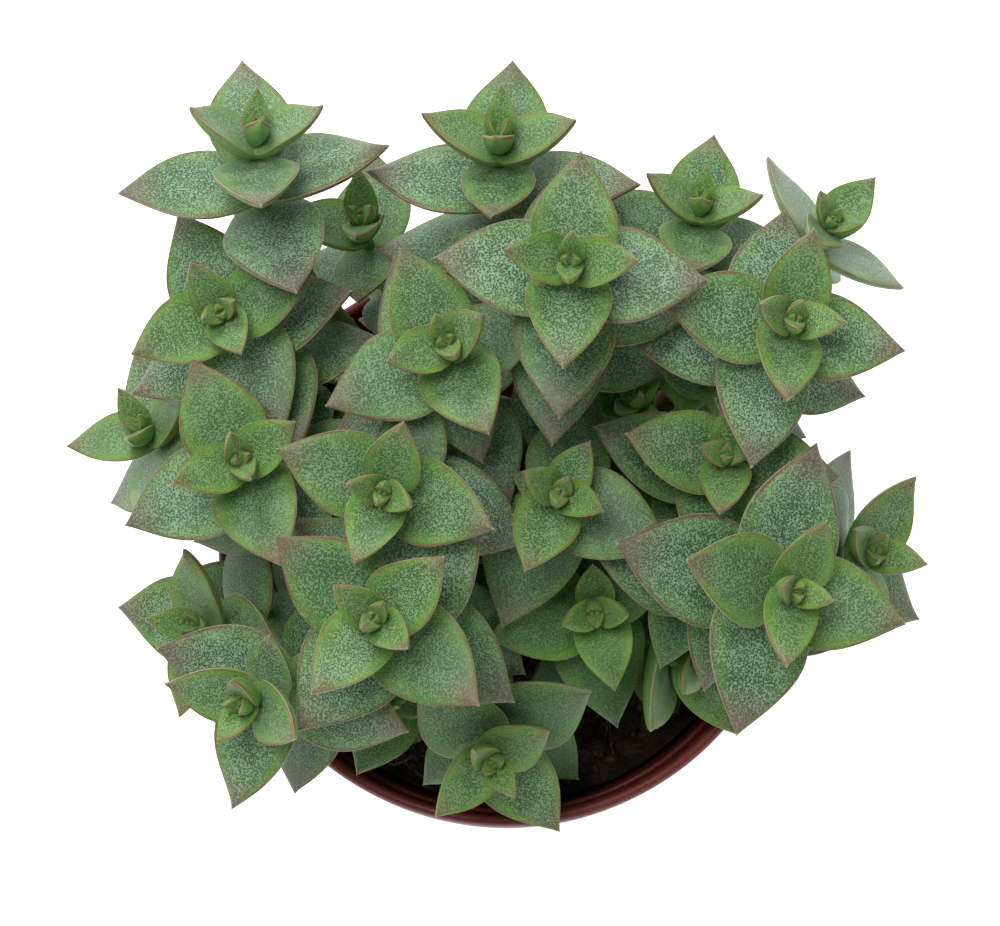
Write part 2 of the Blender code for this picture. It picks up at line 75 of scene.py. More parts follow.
def add_node(tree: Any, kind: str, inputs: dict | None = None, **settings: Any) -> Any:
    """Add a shader node, set it and link it.

    Args:
        tree: Node tree that gets the node.
        kind: Blender's name of the node type.
        inputs: Value or output socket for each input, by its name or number.
        settings: The node's own properties.

    Returns:
        The new node.
    """
    node = tree.nodes.new(kind)
    for name, value in settings.items():
        setattr(node, name, value)
    for key, value in (inputs or {}).items():
        if isinstance(value, bpy.types.NodeSocket):
            tree.links.new(value, node.inputs[key])
        else:
            node.inputs[key].default_value = value
    return node


def smooth_step(low: float, high: float, value: Array) -> Array:
    """Ease from 0 at low to 1 at high: 3t^2 - 2t^3 of the clipped share t."""
    t = np.clip((value - low) / (high - low), 0.0, 1.0)
    return t * t * (3 - 2 * t)


def unit(rows: Array) -> Array:
    """Scale each row vector to length 1."""
    return rows / np.maximum(np.linalg.norm(rows, axis=-1, keepdims=True), 1e-12)


def grid_faces(rows: int, columns: int, first: int = 0) -> Array:
    """Quads of a grid that is closed across its columns.

    Args:
        rows: Number of rings.
        columns: Points in each ring.
        first: Index of the grid's first point.

    Returns:
        One row of four point indices for each quad.
    """
    r, c = np.meshgrid(np.arange(rows - 1), np.arange(columns), indexing="ij")
    n = (c + 1) % columns
    quads = np.stack([r * columns + c, r * columns + n, (r + 1) * columns + n, (r + 1) * columns + c], -1)
    return quads.reshape(-1, 4) + first


@dataclass
class Surface:
    """Points, faces and point attributes that are gathered into one mesh."""

    points: list[Array] = field(default_factory=list)
    faces: list[Sequence[int]] = field(default_factory=list)
    zones: list[Array] = field(default_factory=list)
    kinds: list[Array] = field(default_factory=list)
    count: int = 0

    def add(self, points: Array, faces: Iterable[Sequence[int]], zones: Array | None = None,
            kinds: Array | None = None) -> None:
        """Add points, faces that number them from 0, and their attributes.

        Args:
            points: One row of coordinates for each point.
            faces: Point indices of each face.
            zones: First attribute vector of each point.
            kinds: Second attribute vector of each point.
        """
        self.points.append(points)
        self.faces.extend([int(i) + self.count for i in face] for face in faces)
        blank = np.zeros((len(points), 3))
        self.zones.append(blank if zones is None else zones)
        self.kinds.append(blank if kinds is None else kinds)
        self.count += len(points)

    def add_tube(self, rings: Array, zones: Array | None = None, kinds: Array | None = None) -> None:
        """Add a closed tube from rings of points; its ends are closed by a fan to their centres.

        Args:
            rings: Array of rings, points and coordinates.
            zones: First attribute vectors, shaped as the rings.
            kinds: Second attribute vectors, shaped as the rings.
        """
        rows, columns = rings.shape[:2]
        ends = [rings[0].mean(axis=0), rings[-1].mean(axis=0)]
        faces = grid_faces(rows, columns).tolist()
        turn = np.arange(columns)
        after = (turn + 1) % columns
        last = (rows - 1) * columns
        faces += np.stack([turn * 0 + rows * columns, after, turn], -1).tolist()
        faces += np.stack([turn * 0 + rows * columns + 1, last + turn, last + after], -1).tolist()
        flat = rings.reshape(-1, 3)

        def with_ends(values: Array | None) -> Array | None:
            """Repeat the first and last ring's mean value for the two centres."""
            if values is None:
                return None
            tail = [values[0].mean(axis=0), values[-1].mean(axis=0)]
            return np.concatenate([values.reshape(-1, 3), tail])

        self.add(np.concatenate([flat, ends]), faces, with_ends(zones), with_ends(kinds))

    def build(self, name: str, material: Any, slot: str, nodes: Sequence[str] = ()) -> Any:
        """Args:
            name: Name of the piece.
            material: Its finish.
            slot: A material slot's name; not used.
            nodes: CAD nodes that the piece stands for.

        Returns:
            The new object.
        """
        mesh = bpy.data.meshes.new(name)
        mesh.from_pydata(np.concatenate(self.points).tolist(), [], self.faces)
        for label, values in (("leaf_zones", self.zones), ("leaf_kind", self.kinds)):
            data = np.concatenate(values)
            if data.any():
                layer = mesh.attributes.new(label, "FLOAT_VECTOR", "POINT")
                layer.data.foreach_set("vector", data.ravel())
        mesh.polygons.foreach_set("use_smooth", [True] * len(mesh.polygons))
        mesh.materials.append(material)
        mesh.update()
        piece = bpy.data.objects.new(name, mesh)
        bpy.context.scene.collection.objects.link(piece)
        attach(piece, "root")
        if nodes:
            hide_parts(*nodes)
        log.info("%s: %d points, %d faces", name, self.count, len(self.faces))
        return piece


def value_noise(points: Array, cell: float, seed: int) -> Array:
    """Smooth random field: the mean of eight sine waves of random direction and phase.

    Args:
        points: Rows of coordinates.
        cell: Wavelength of the waves, in metres.
        seed: Seed of their directions.

    Returns:
        One value from about -1 to 1 for each row.
    """
    rng = np.random.default_rng(seed)
    waves = unit(rng.normal(size=(8, points.shape[-1]))) * rng.uniform(0.7, 1.5, (8, 1)) * TAU / cell
    return np.sin(points @ waves.T + rng.uniform(0, TAU, 8)).mean(axis=-1) * 2


# ---------------------------------------------------------------- finishes


@dataclass(frozen=True)
class LeafFinish:
    """Succulent leaf skin: waxy bloom over green tissue, with a horny, sun-reddened margin.

    The bloom scatters light like fine powder, so the skin is satin and pale between its dark
    water pores; it is thin on young leaves, which show their yellow-green flesh.
    """

    pore_green: str = "#395737"
    bloom: str = "#8da98d"
    # Darker, greener copies for leaves deep in the crown: partly shade-grown skin, partly painted shade.
    shade_green: str = "#2e5226"
    shade_bloom: str = "#4b7342"
    young_green: str = "#4c7830"
    young_bloom: str = "#809c5e"
    lime: str = "#6f9a3d"
    blush: str = "#6b3b31"
    young_blush: str = "#8b5738"
    tip: str = "#6f544b"
    young_tip: str = "#96604a"
    horn: str = "#b5a596"
    underside: str = "#6b9a45"
    # Whitish colour for thicker bloom and painted sheen on the crown's back and rim.
    bloom_and_sheen: str = "#c6d6ca"
    pore_spacing: float = 0.00025  # metres between the dark pores
    patch: float = 0.0035  # metres across the patches of thicker bloom
    roughness: float = 0.50

    def build(self) -> Any:
        """Make the node material.

        Returns:
            The material.
        """
        material = bpy.data.materials.new("succulent_leaf_skin")
        material.use_nodes = True
        tree = material.node_tree
        shader = tree.nodes["Principled BSDF"]
        place = add_node(tree, "ShaderNodeTexCoord").outputs["Object"]
        zones = add_node(tree, "ShaderNodeSeparateXYZ", {
            0: add_node(tree, "ShaderNodeAttribute", attribute_name="leaf_zones").outputs["Vector"]})
        kinds = add_node(tree, "ShaderNodeSeparateXYZ", {
            0: add_node(tree, "ShaderNodeAttribute", attribute_name="leaf_kind").outputs["Vector"]})
        margin, along, youth = zones.outputs
        upper, tone_and_painted_light, redness = kinds.outputs

        def ramp(value: Any, low: float, high: float, start: float = 0.0, end: float = 1.0) -> Any:
            """Ease a value's range into another range."""
            return add_node(tree, "ShaderNodeMapRange", {
                0: value, 1: low, 2: high, 3: start, 4: end}, interpolation_type="SMOOTHSTEP").outputs[0]

        def math_of(operation: str, a: Any, b: Any) -> Any:
            """Combine two values."""
            return add_node(tree, "ShaderNodeMath", {0: a, 1: b}, operation=operation).outputs[0]

        def mix(share: Any, a: Any, b: Any) -> Any:
            """Mix two colours, given as sockets or as linear values."""
            return add_node(tree, "ShaderNodeMix", {0: share, 6: a, 7: b}, data_type="RGBA").outputs[2]

        patches = add_node(tree, "ShaderNodeTexNoise", {
            "Vector": place, "Scale": 1 / self.patch, "Detail": 3.0}).outputs["Fac"]
        ripple = add_node(tree, "ShaderNodeTexNoise", {
            "Vector": place, "Scale": 1.3 / self.pore_spacing, "Detail": 1.0}).outputs["Fac"]
        pores = add_node(tree, "ShaderNodeTexVoronoi", {
            "Vector": place, "Scale": 1 / self.pore_spacing, "Randomness": 1.0}).outputs["Distance"]
        spread = math_of("ADD", pores, math_of("MULTIPLY", math_of("SUBTRACT", ripple, 0.5), 0.30))
        spread = math_of("ADD", spread, math_of("MULTIPLY", math_of("SUBTRACT", patches, 0.5), 0.45))
        pore = ramp(spread, 0.72, 0.36)  # pores widen and run together where the bloom is thin

        # Skin of a grown leaf lit and in painted shade, of a young leaf, and of the underside. The shaded
        # copy is darker and greener: partly the less bloomed skin of shade-grown leaves, partly painted
        # shade deep in the crown.
        lit = mix(pore, linear(self.bloom), linear(self.pore_green))
        shaded = mix(pore, linear(self.shade_bloom), linear(self.shade_green))
        mature = mix(tone_and_painted_light, shaded, lit)
        young = mix(math_of("MULTIPLY", pore, 0.90), linear(self.young_bloom), linear(self.young_green))
        skin = mix(youth, mature, young)
        below = mix(math_of("MULTIPLY", pore, 0.4), linear(self.underside), linear(self.pore_green))
        skin = mix(upper, below, skin)
        tan = ramp(upper, 0.0, 1.0, 0.3, 1.0)
        # Yellow-green flesh shows through beside the margin and at the leaf's heel.
        lime_share = math_of("MULTIPLY", ramp(margin, 0.45, 0.92, 0.0, 0.80),
                             ramp(youth, 0.0, 0.5, 0.40, 1.0))
        heel = ramp(along, 0.24, 0.02, 0.0, 0.75)
        lime_share = math_of("MAXIMUM", lime_share, heel)
        skin = mix(math_of("MULTIPLY", lime_share, ramp(pore, 0.0, 1.0, 1.0, 0.7)), skin, linear(self.lime))
        # Tips dry to grey-brown in the sun, later and redder on young leaves.
        late = math_of("SUBTRACT", along, math_of("MULTIPLY", youth, 0.14))
        tip_share = math_of("MULTIPLY", ramp(late, 0.60, 1.0, 0.0, 1.0), math_of("MULTIPLY", redness, tan))
        tip_share = math_of("MULTIPLY", tip_share, ramp(pore, 0.0, 1.0, 0.7, 0.95))
        skin = mix(tip_share, skin, mix(youth, linear(self.tip), linear(self.young_tip)))
        # Sun reddens a band inside the margin in patches; the rim itself is pale horn.
        outer = ramp(along, 0.1, 0.8, 0.35, 1.0)
        uneven = math_of("MULTIPLY", redness, ramp(patches, 0.38, 0.60, 0.30, 1.0))
        blush_share = math_of("MULTIPLY", ramp(margin, 0.87, 0.96, 0.0, 1.0), uneven)
        blush = mix(youth, linear(self.blush), linear(self.young_blush))
        skin = mix(math_of("MULTIPLY", blush_share, outer), skin, blush)
        horn_share = math_of("MULTIPLY", ramp(margin, 0.985, 0.999, 0.0, 0.8), outer)
        horn_share = math_of("MAXIMUM", horn_share, ramp(along, 0.975, 0.995, 0.0, 0.9))
        skin = mix(math_of("MULTIPLY", horn_share, ramp(tone_and_painted_light, 0.2, 0.8, 0.4, 1.0)), skin, linear(self.horn))
        # Painted sheen and thicker bloom: high tone values pale the skin toward a whitish colour.
        skin = mix(ramp(tone_and_painted_light, 0.9, 1.5, 0.0, 0.20), skin, linear(self.bloom_and_sheen))
        tree.links.new(skin, shader.inputs["Base Color"])

        relief = math_of("SUBTRACT", math_of("MULTIPLY", ripple, 0.4), math_of("MULTIPLY", pore, 0.6))
        bump = add_node(tree, "ShaderNodeBump", {
            "Height": relief, "Strength": 0.35, "Distance": 0.00012})
        tree.links.new(bump.outputs[0], shader.inputs["Normal"])
        rough = ramp(pore, 0.0, 1.0, self.roughness + 0.10, self.roughness - 0.08)
        tree.links.new(rough, shader.inputs["Roughness"])
        shader.inputs["IOR"].default_value = 1.42
        shader.inputs["Sheen Weight"].default_value = 0.06
        shader.inputs["Specular IOR Level"].default_value = 0.45
        return material


@dataclass(frozen=True)
class StemFinish:
    """Succulent stem bark: green under the leaves, drying to grey-brown cork with fine rings."""

    green: str = "#7d8f52"
    cork: str = "#7a6247"
    dark: str = "#4a3828"
    ring: float = 0.0009  # metres between the dried rings
    grain: float = 0.0012  # metres across the bark's flakes
    roughness: float = 0.8

    def build(self) -> Any:
        """Make the node material.

        Returns:
            The material.
        """
        material = bpy.data.materials.new("corky_stem_bark")
        material.use_nodes = True
        tree = material.node_tree
        shader = tree.nodes["Principled BSDF"]
        place = add_node(tree, "ShaderNodeTexCoord").outputs["Object"]
        zones = add_node(tree, "ShaderNodeSeparateXYZ", {
            0: add_node(tree, "ShaderNodeAttribute", attribute_name="leaf_zones").outputs["Vector"]})
        grain = add_node(tree, "ShaderNodeTexNoise", {
            "Vector": place, "Scale": 1 / self.grain, "Detail": 5.0}).outputs["Fac"]
        rings = add_node(tree, "ShaderNodeTexWave", {
            "Vector": place, "Scale": 0.5 / self.ring, "Distortion": 4.0, "Detail": 2.0},
            bands_direction="Z").outputs["Fac"]
        bark = add_node(tree, "ShaderNodeMix", {0: grain, 6: linear(self.dark), 7: linear(self.cork)},
                        data_type="RGBA").outputs[2]
        freshness = add_node(tree, "ShaderNodeMapRange", {0: zones.outputs[0], 1: 0.45, 2: 1.0})
        skin = add_node(tree, "ShaderNodeMix", {0: freshness.outputs[0], 6: bark, 7: linear(self.green)},
                        data_type="RGBA").outputs[2]
        tree.links.new(skin, shader.inputs["Base Color"])
        height = add_node(tree, "ShaderNodeMath", {0: grain, 1: rings}, operation="ADD").outputs[0]
        bump = add_node(tree, "ShaderNodeBump", {"Height": height, "Strength": 0.5, "Distance": 0.0003})
        tree.links.new(bump.outputs[0], shader.inputs["Normal"])
        shader.inputs["Roughness"].default_value = self.roughness
        return material


@dataclass(frozen=True)
class PotFinish:
    """Injection-moulded polypropylene, dyed brick brown: satin, with a faint flow grain and dust."""

    body: str = "#6b2a22"
    dark: str = "#5b211b"
    dust: str = "#80483d"
    grain: float = 0.0006  # metres across the moulded texture
    cloud: float = 0.018  # metres across the faint clouds where the melt flowed
    roughness: float = 0.45

    def build(self) -> Any:
        """Make the node material.

        Returns:
            The material.
        """
        material = bpy.data.materials.new("moulded_polypropylene")
        material.use_nodes = True
        tree = material.node_tree
        shader = tree.nodes["Principled BSDF"]
        place = add_node(tree, "ShaderNodeTexCoord").outputs["Object"]
        drawn = add_node(tree, "ShaderNodeMapping", {"Vector": place, "Scale": (1.0, 1.0, 0.6)})
        flow = add_node(tree, "ShaderNodeTexNoise", {
            "Vector": drawn.outputs[0], "Scale": 1 / self.cloud, "Detail": 4.0}).outputs["Fac"]
        fine = add_node(tree, "ShaderNodeTexNoise", {
            "Vector": place, "Scale": 1 / self.grain, "Detail": 2.0}).outputs["Fac"]
        tint = add_node(tree, "ShaderNodeMapRange", {0: flow, 1: 0.3, 2: 0.7}).outputs[0]
        base = add_node(tree, "ShaderNodeMix", {0: tint, 6: linear(self.dark), 7: linear(self.body)},
                        data_type="RGBA").outputs[2]
        film = add_node(tree, "ShaderNodeMapRange", {0: fine, 1: 0.55, 2: 0.8, 3: 0.0, 4: 0.12}).outputs[0]
        base = add_node(tree, "ShaderNodeMix", {0: film, 6: base, 7: linear(self.dust)},
                        data_type="RGBA").outputs[2]
        tree.links.new(base, shader.inputs["Base Color"])
        rough = add_node(tree, "ShaderNodeMapRange", {
            0: flow, 1: 0.3, 2: 0.7, 3: self.roughness - 0.06, 4: self.roughness + 0.14}).outputs[0]
        tree.links.new(rough, shader.inputs["Roughness"])
        bump = add_node(tree, "ShaderNodeBump", {"Height": fine, "Strength": 0.15, "Distance": 0.0001})
        tree.links.new(bump.outputs[0], shader.inputs["Normal"])
        shader.inputs["IOR"].default_value = 1.49
        shader.inputs["Specular IOR Level"].default_value = 0.3
        return material


class Litter(Enum):
    """What lies on the potting soil."""

    CRUMB = "peat_crumb"
    FIBRE = "coir_fibre"
    GRIT = "pale_grit"


@dataclass(frozen=True)
class SoilFinish:
    """Peat potting mix: dark, matt and crumbly, with drier brown patches."""

    name: str = "peat_potting_mix"
    wet: str = "#1d1613"
    dry: str = "#4a3a30"
    grain: float = 0.0011  # metres across a crumb
    patch: float = 0.008  # metres across the drier patches
    roughness: float = 0.93

    def build(self) -> Any:
        """Make the node material.

        Returns:
            The material.
        """
        material = bpy.data.materials.new(self.name)
        material.use_nodes = True
        tree = material.node_tree
        shader = tree.nodes["Principled BSDF"]
        place = add_node(tree, "ShaderNodeTexCoord").outputs["Object"]
        crumbs = add_node(tree, "ShaderNodeTexNoise", {
            "Vector": place, "Scale": 1 / self.grain, "Detail": 6.0, "Roughness": 0.7}).outputs["Fac"]
        patches = add_node(tree, "ShaderNodeTexNoise", {
            "Vector": place, "Scale": 1 / self.patch, "Detail": 2.0}).outputs["Fac"]
        both = add_node(tree, "ShaderNodeMath", {0: crumbs, 1: patches}, operation="MULTIPLY").outputs[0]
        share = add_node(tree, "ShaderNodeMapRange", {0: both, 1: 0.18, 2: 0.42}).outputs[0]
        base = add_node(tree, "ShaderNodeMix", {0: share, 6: linear(self.wet), 7: linear(self.dry)},
                        data_type="RGBA").outputs[2]
        tree.links.new(base, shader.inputs["Base Color"])
        bump = add_node(tree, "ShaderNodeBump", {"Height": crumbs, "Strength": 0.9, "Distance": 0.0008})
        tree.links.new(bump.outputs[0], shader.inputs["Normal"])
        shader.inputs["Roughness"].default_value = self.roughness
        shader.inputs["Specular IOR Level"].default_value = 0.2
        return material


# ---------------------------------------------------------------- the pot


@dataclass(frozen=True)
class PotSizes:
    """Sizes of the nursery pot, as in the model."""

    rim_radius: float = 0.0415
    height: float = 0.070
    wall: float = 0.0012
    lip_width: float = 0.0019
    collar_height: float = 0.010
    collar_step: float = 0.0016
    collar_taper: float = 0.0008
    foot_radius: float = 0.0293
    base: float = 0.0015
    pad_radius: float = 0.0185
    pad_drop: float = 0.0015
    drain_holes: int = 6
    drain_radius: float = 0.0025
    soil_below_rim: float = 0.0125
    soil_mound: float = 0.0016

    @property
    def collar_foot(self) -> float:
        """Height of the collar's lower edge."""
        return self.height - self.collar_height

    @property
    def soil_level(self) -> float:
        """Mean height of the soil's surface."""
        return self.height - self.soil_below_rim

    def wall_outside(self, z: float) -> float:
        """Outer radius of the tapered wall at a height."""
        share = (z - self.pad_drop) / (self.collar_foot - self.pad_drop)
        top = self.rim_radius - self.collar_taper - self.collar_step
        return self.foot_radius + share * (top - self.foot_radius)

    def wall_inside(self, z: float) -> float:
        """Inner radius of the tapered wall at a height."""
        return self.wall_outside(z) - self.wall

    def room_inside(self, z: float) -> float:
        """Radius that is free of the pot at a height, inside it or above it.

        Args:
            z: Height.

        Returns:
            The free radius, infinite above the lip.
        """
        if z > self.height:
            return math.inf
        if z > self.collar_foot + self.wall:
            return self.rim_radius - self.lip_width - self.collar_taper
        return self.wall_inside(z)


POT = PotSizes()


@dataclass
class NurseryPot:
    """Turned shell of the pot, with a rolled lip, a stepped collar and drain holes."""

    sizes: PotSizes
    sides: int = 180
    fillet: float = 0.0010
    fillet_steps: int = 6
    hole_sides: int = 24

    def profile(self) -> Array:
        """Outline of the wall as (radius, height), up the outside and down the inside.

        Returns:
            Closed outline with each corner rounded by a short arc.
        """
        s = self.sizes
        inner = s.rim_radius - s.lip_width
        floor = s.pad_drop + s.base
        ledge = s.collar_foot + s.wall
        corners = np.array([
            (s.pad_radius, 0), (s.pad_radius + s.pad_drop, s.pad_drop), (s.foot_radius, s.pad_drop),
            (s.wall_outside(s.collar_foot), s.collar_foot), (s.rim_radius - s.collar_taper, s.collar_foot),
            (s.rim_radius, s.height - s.lip_width / 2), (s.rim_radius - s.lip_width / 4, s.height),
            (inner + s.lip_width / 4, s.height), (inner, s.height - s.lip_width / 2),
            (inner - s.collar_taper, ledge), (s.wall_inside(s.collar_foot), ledge),
            (s.wall_inside(floor), floor), (s.pad_radius + s.pad_drop, floor), (s.pad_radius, s.base)])
        return self.rounded(corners)

    def rounded(self, corners: Array) -> Array:
        """Replace each corner by a short curve: the quadratic through its two sides' near points.

        Args:
            corners: Corners of a closed outline.

        Returns:
            The outline's points.
        """
        before, after = np.roll(corners, 1, axis=0), np.roll(corners, -1, axis=0)
        cut = [np.minimum(self.fillet, np.linalg.norm(side - corners, axis=1, keepdims=True) * 0.45)
               for side in (before, after)]
        start = corners + unit(before - corners) * cut[0]
        end = corners + unit(after - corners) * cut[1]
        t = np.linspace(0, 1, self.fillet_steps)[None, :, None]
        curve = start[:, None] * (1 - t) ** 2 + corners[:, None] * 2 * t * (1 - t) + end[:, None] * t**2
        return curve.reshape(-1, 2)

    def build(self, material: Any) -> Any:
        """Turn the outline round the axis and cut the drain holes.

        Args:
            material: The plastic.

        Returns:
            The pot.
        """
        outline = self.profile()
        turns = np.arange(self.sides) * TAU / self.sides
        ring = np.stack([np.cos(turns), np.sin(turns)], -1)
        points = np.concatenate([outline[:, None, :1] * ring, np.broadcast_to(
            outline[:, None, 1:], (len(outline), self.sides, 1))], -1)
        surface = Surface()
        surface.add_tube(points)
        pot = surface.build("nursery_pot", material, "pot_plastic", ["pot"])
        self.cut_drains(pot)
        return pot

    def cut_drains(self, pot: Any) -> None:
        """Cut the ring of drain holes through the base.

        Args:
            pot: The pot's object.
        """
        s = self.sizes
        floor = s.pad_drop + s.base
        radius = (s.pad_radius + s.pad_drop + s.wall_inside(floor)) / 2
        turns = np.arange(self.hole_sides) * TAU / self.hole_sides
        cutter = Surface()
        for i in range(s.drain_holes):
            angle = TAU * (i + 0.5) / s.drain_holes
            x = radius * math.cos(angle) + s.drain_radius * np.cos(turns)
            y = radius * math.sin(angle) + s.drain_radius * np.sin(turns)
            cutter.add_tube(np.stack([
                np.stack([x, y, np.full_like(x, z)], -1) for z in (-s.base, floor + s.base)]))
        mesh = bpy.data.meshes.new("drain_cutter")
        mesh.from_pydata(np.concatenate(cutter.points).tolist(), [], cutter.faces)
        helper = bpy.data.objects.new("drain_cutter", mesh)
        bpy.context.scene.collection.objects.link(helper)
        cut = pot.modifiers.new("drains", "BOOLEAN")
        cut.operation, cut.solver, cut.object = "DIFFERENCE", "EXACT", helper
        graph = bpy.context.evaluated_depsgraph_get()
        pot.data = bpy.data.meshes.new_from_object(pot.evaluated_get(graph))
        pot.modifiers.clear()
        bpy.data.objects.remove(helper, do_unlink=True)


# ---------------------------------------------------------------- the soil


@dataclass
class PottingSoil:
    """Crumbly soil surface, its filling below, and the litter that lies on it."""

    sizes: PotSizes
    gap: float = 0.0003
    sides: int = 240
    rings: int = 90
    roughness: tuple[tuple[float, float], ...] = ((0.0120, 0.00055), (0.0045, 0.00040), (0.0018, 0.00030))
    litter: dict[Litter, int] = field(default_factory=lambda: {
        Litter.CRUMB: 1800, Litter.FIBRE: 220, Litter.GRIT: 30})
    crumb_sizes: tuple[float, float] = (0.0005, 0.0016)
    grit_sizes: tuple[float, float] = (0.0003, 0.0006)
    fibre_lengths: tuple[float, float] = (0.003, 0.011)
    fibre_radii: tuple[float, float] = (0.00008, 0.00028)
    fibre_bend: float = 1.6  # radians that a fibre turns at most
    fibre_points: int = 12
    fibre_lift: float = 0.0004
    fibre_arch: float = 0.0006
    litter_edge: float = 0.003  # how far litter starts from the wall
    fibre_edge: float = 0.002  # how near a fibre may run to it

    def height(self, x: Array, y: Array) -> Array:
        """Height of the surface: the model's long waves with three sizes of crumb on them.

        Args:
            x: Places across.
            y: Places to the back.

        Returns:
            The heights there.
        """
        wave = np.sin(210 * x + 0.7) * np.cos(170 * y - 0.4) + 0.5 * np.sin(390 * y + 240 * x)
        height = self.sizes.soil_level + self.sizes.soil_mound * wave / 3
        flat = np.stack([x, y], -1)
        for number, (cell, depth) in enumerate(self.roughness):
            height = height + depth * value_noise(flat, cell, 40 + number)
        return height

    def build(self, material: Any) -> Any:
        """Make the filling: its side follows the wall, and its top is the crumbly surface.

        Args:
            material: The soil.

        Returns:
            The soil's object.
        """
        s = self.sizes
        floor = s.pad_drop + s.base + self.gap
        edge = s.wall_inside(s.soil_level - s.soil_mound) - 2 * self.gap
        turns = np.arange(self.sides) * TAU / self.sides
        ring = np.stack([np.cos(turns), np.sin(turns)], -1)
        rows = []
        for radius, z in ((s.pad_radius, floor), (s.wall_inside(floor) - self.gap, floor),
                          (s.wall_inside(s.soil_level * 0.5) - self.gap, s.soil_level * 0.5)):
            rows.append(np.concatenate([ring * radius, np.full((self.sides, 1), z)], -1))
        for radius in np.linspace(edge, edge / self.rings, self.rings):
            flat = ring * radius
            rows.append(np.concatenate([flat, self.height(flat[:, 0], flat[:, 1])[:, None]], -1))
        surface = Surface()
        surface.add_tube(np.array(rows))
        return surface.build("potting_mix", material, "soil", ["potting_soil"])

    def spots(self, count: int, rng: np.random.Generator) -> Array:
        """Random places on the surface, spread evenly over its area.

        Args:
            count: Number of places.
            rng: Source of random numbers.

        Returns:
            One row of coordinates for each place.
        """
        reach = self.sizes.wall_inside(self.sizes.soil_level) - self.litter_edge
        radius = reach * np.sqrt(rng.uniform(0, 1, count))
        turn = rng.uniform(0, TAU, count)
        x, y = radius * np.cos(turn), radius * np.sin(turn)
        return np.stack([x, y, self.height(x, y)], -1)

    def scatter(self, kind: Litter, material: Any) -> Any:
        """Lay one kind of litter on the surface.

        A crumb or a grain of grit is a small ball of six columns and four rings, with each point
        moved in or out at random. A fibre is a thin bent thread of five sides.

        Args:
            kind: What to lay.
            material: Its finish.

        Returns:
            The litter's object.
        """
        rng = np.random.default_rng(len(kind.value))
        surface = Surface()
        for spot in self.spots(self.litter[kind], rng):
            if kind is Litter.FIBRE:
                surface.add_tube(self.fibre(spot, rng))
            else:
                sizes = self.crumb_sizes if kind is Litter.CRUMB else self.grit_sizes
                surface.add_tube(self.crumb(spot, rng.uniform(*sizes), rng))
        return surface.build(kind.value, material, "soil")

    def crumb(self, spot: Array, size: float, rng: np.random.Generator) -> Array:
        """Rings of an irregular crumb: a ball with a random stretch and random dents.

        Args:
            spot: Its centre.
            size: Its radius.
            rng: Source of random numbers.

        Returns:
            Four rings of six points.
        """
        lift = np.radians((-70, -25, 25, 70))[:, None]
        turn = np.arange(6)[None] * TAU / 6 + rng.uniform(0, TAU)
        ball = np.stack([np.cos(lift) * np.cos(turn), np.cos(lift) * np.sin(turn),
                         np.sin(lift) + 0 * turn], -1)
        ball = ball * rng.uniform(0.7, 1.25, (4, 6, 1)) * rng.uniform(0.55, 1.2, 3) * size
        tumble = Matrix.Rotation(rng.uniform(0, TAU), 3, Vector(unit(rng.normal(size=3))))
        return ball @ np.array(tumble) + spot

    def fibre(self, spot: Array, rng: np.random.Generator) -> Array:
        """Rings of a thread that follows a flat arc just above the surface.

        Args:
            spot: Where it starts.
            rng: Source of random numbers.

        Returns:
            Rings of five points.
        """
        length = rng.uniform(*self.fibre_lengths)
        bend = rng.uniform(-self.fibre_bend, self.fibre_bend)
        start = rng.uniform(0, TAU)
        t = np.linspace(0, 1, self.fibre_points)
        heading = start + bend * t
        x = spot[0] + np.cumsum(np.cos(heading)) * length / self.fibre_points
        y = spot[1] + np.cumsum(np.sin(heading)) * length / self.fibre_points
        room = self.sizes.wall_inside(self.sizes.soil_level) - self.fibre_edge
        shrink = np.minimum(1.0, room / np.maximum(np.hypot(x, y), 1e-6))
        x, y = x * shrink, y * shrink
        arch = self.fibre_arch * np.sin(math.pi * t) * rng.uniform(0, 1)
        z = self.height(x, y) + self.fibre_lift + arch
        radius = rng.uniform(*self.fibre_radii)
        turn = np.arange(5) * TAU / 5
        side = np.stack([-np.sin(heading), np.cos(heading), 0 * t], -1)
        upright = np.array((0, 0, 1.0))
        ring = side[:, None] * np.cos(turn)[None, :, None] + upright * np.sin(turn)[None, :, None]
        return np.stack([x, y, z], -1)[:, None] + ring * radius


# ---------------------------------------------------------------- the planting plan


@dataclass(frozen=True)
class Shoot:
    """Where one shoot's tip stands, how it leans and how its leaf pairs are set."""

    x: float  # tip, from the pot's axis
    y: float
    rise: float  # tip above the pot's lip
    lean: float  # degrees from upright
    bearing: float  # degrees from +X toward +Y, the way that it leans
    roll: float  # degrees that its leaf pairs are turned about the stem
    age: float  # age of the youngest pair, beyond one
    leaf: float  # length of a full-grown leaf
    pairs: int = 9  # pairs down the shoot, the bud's own pair counted


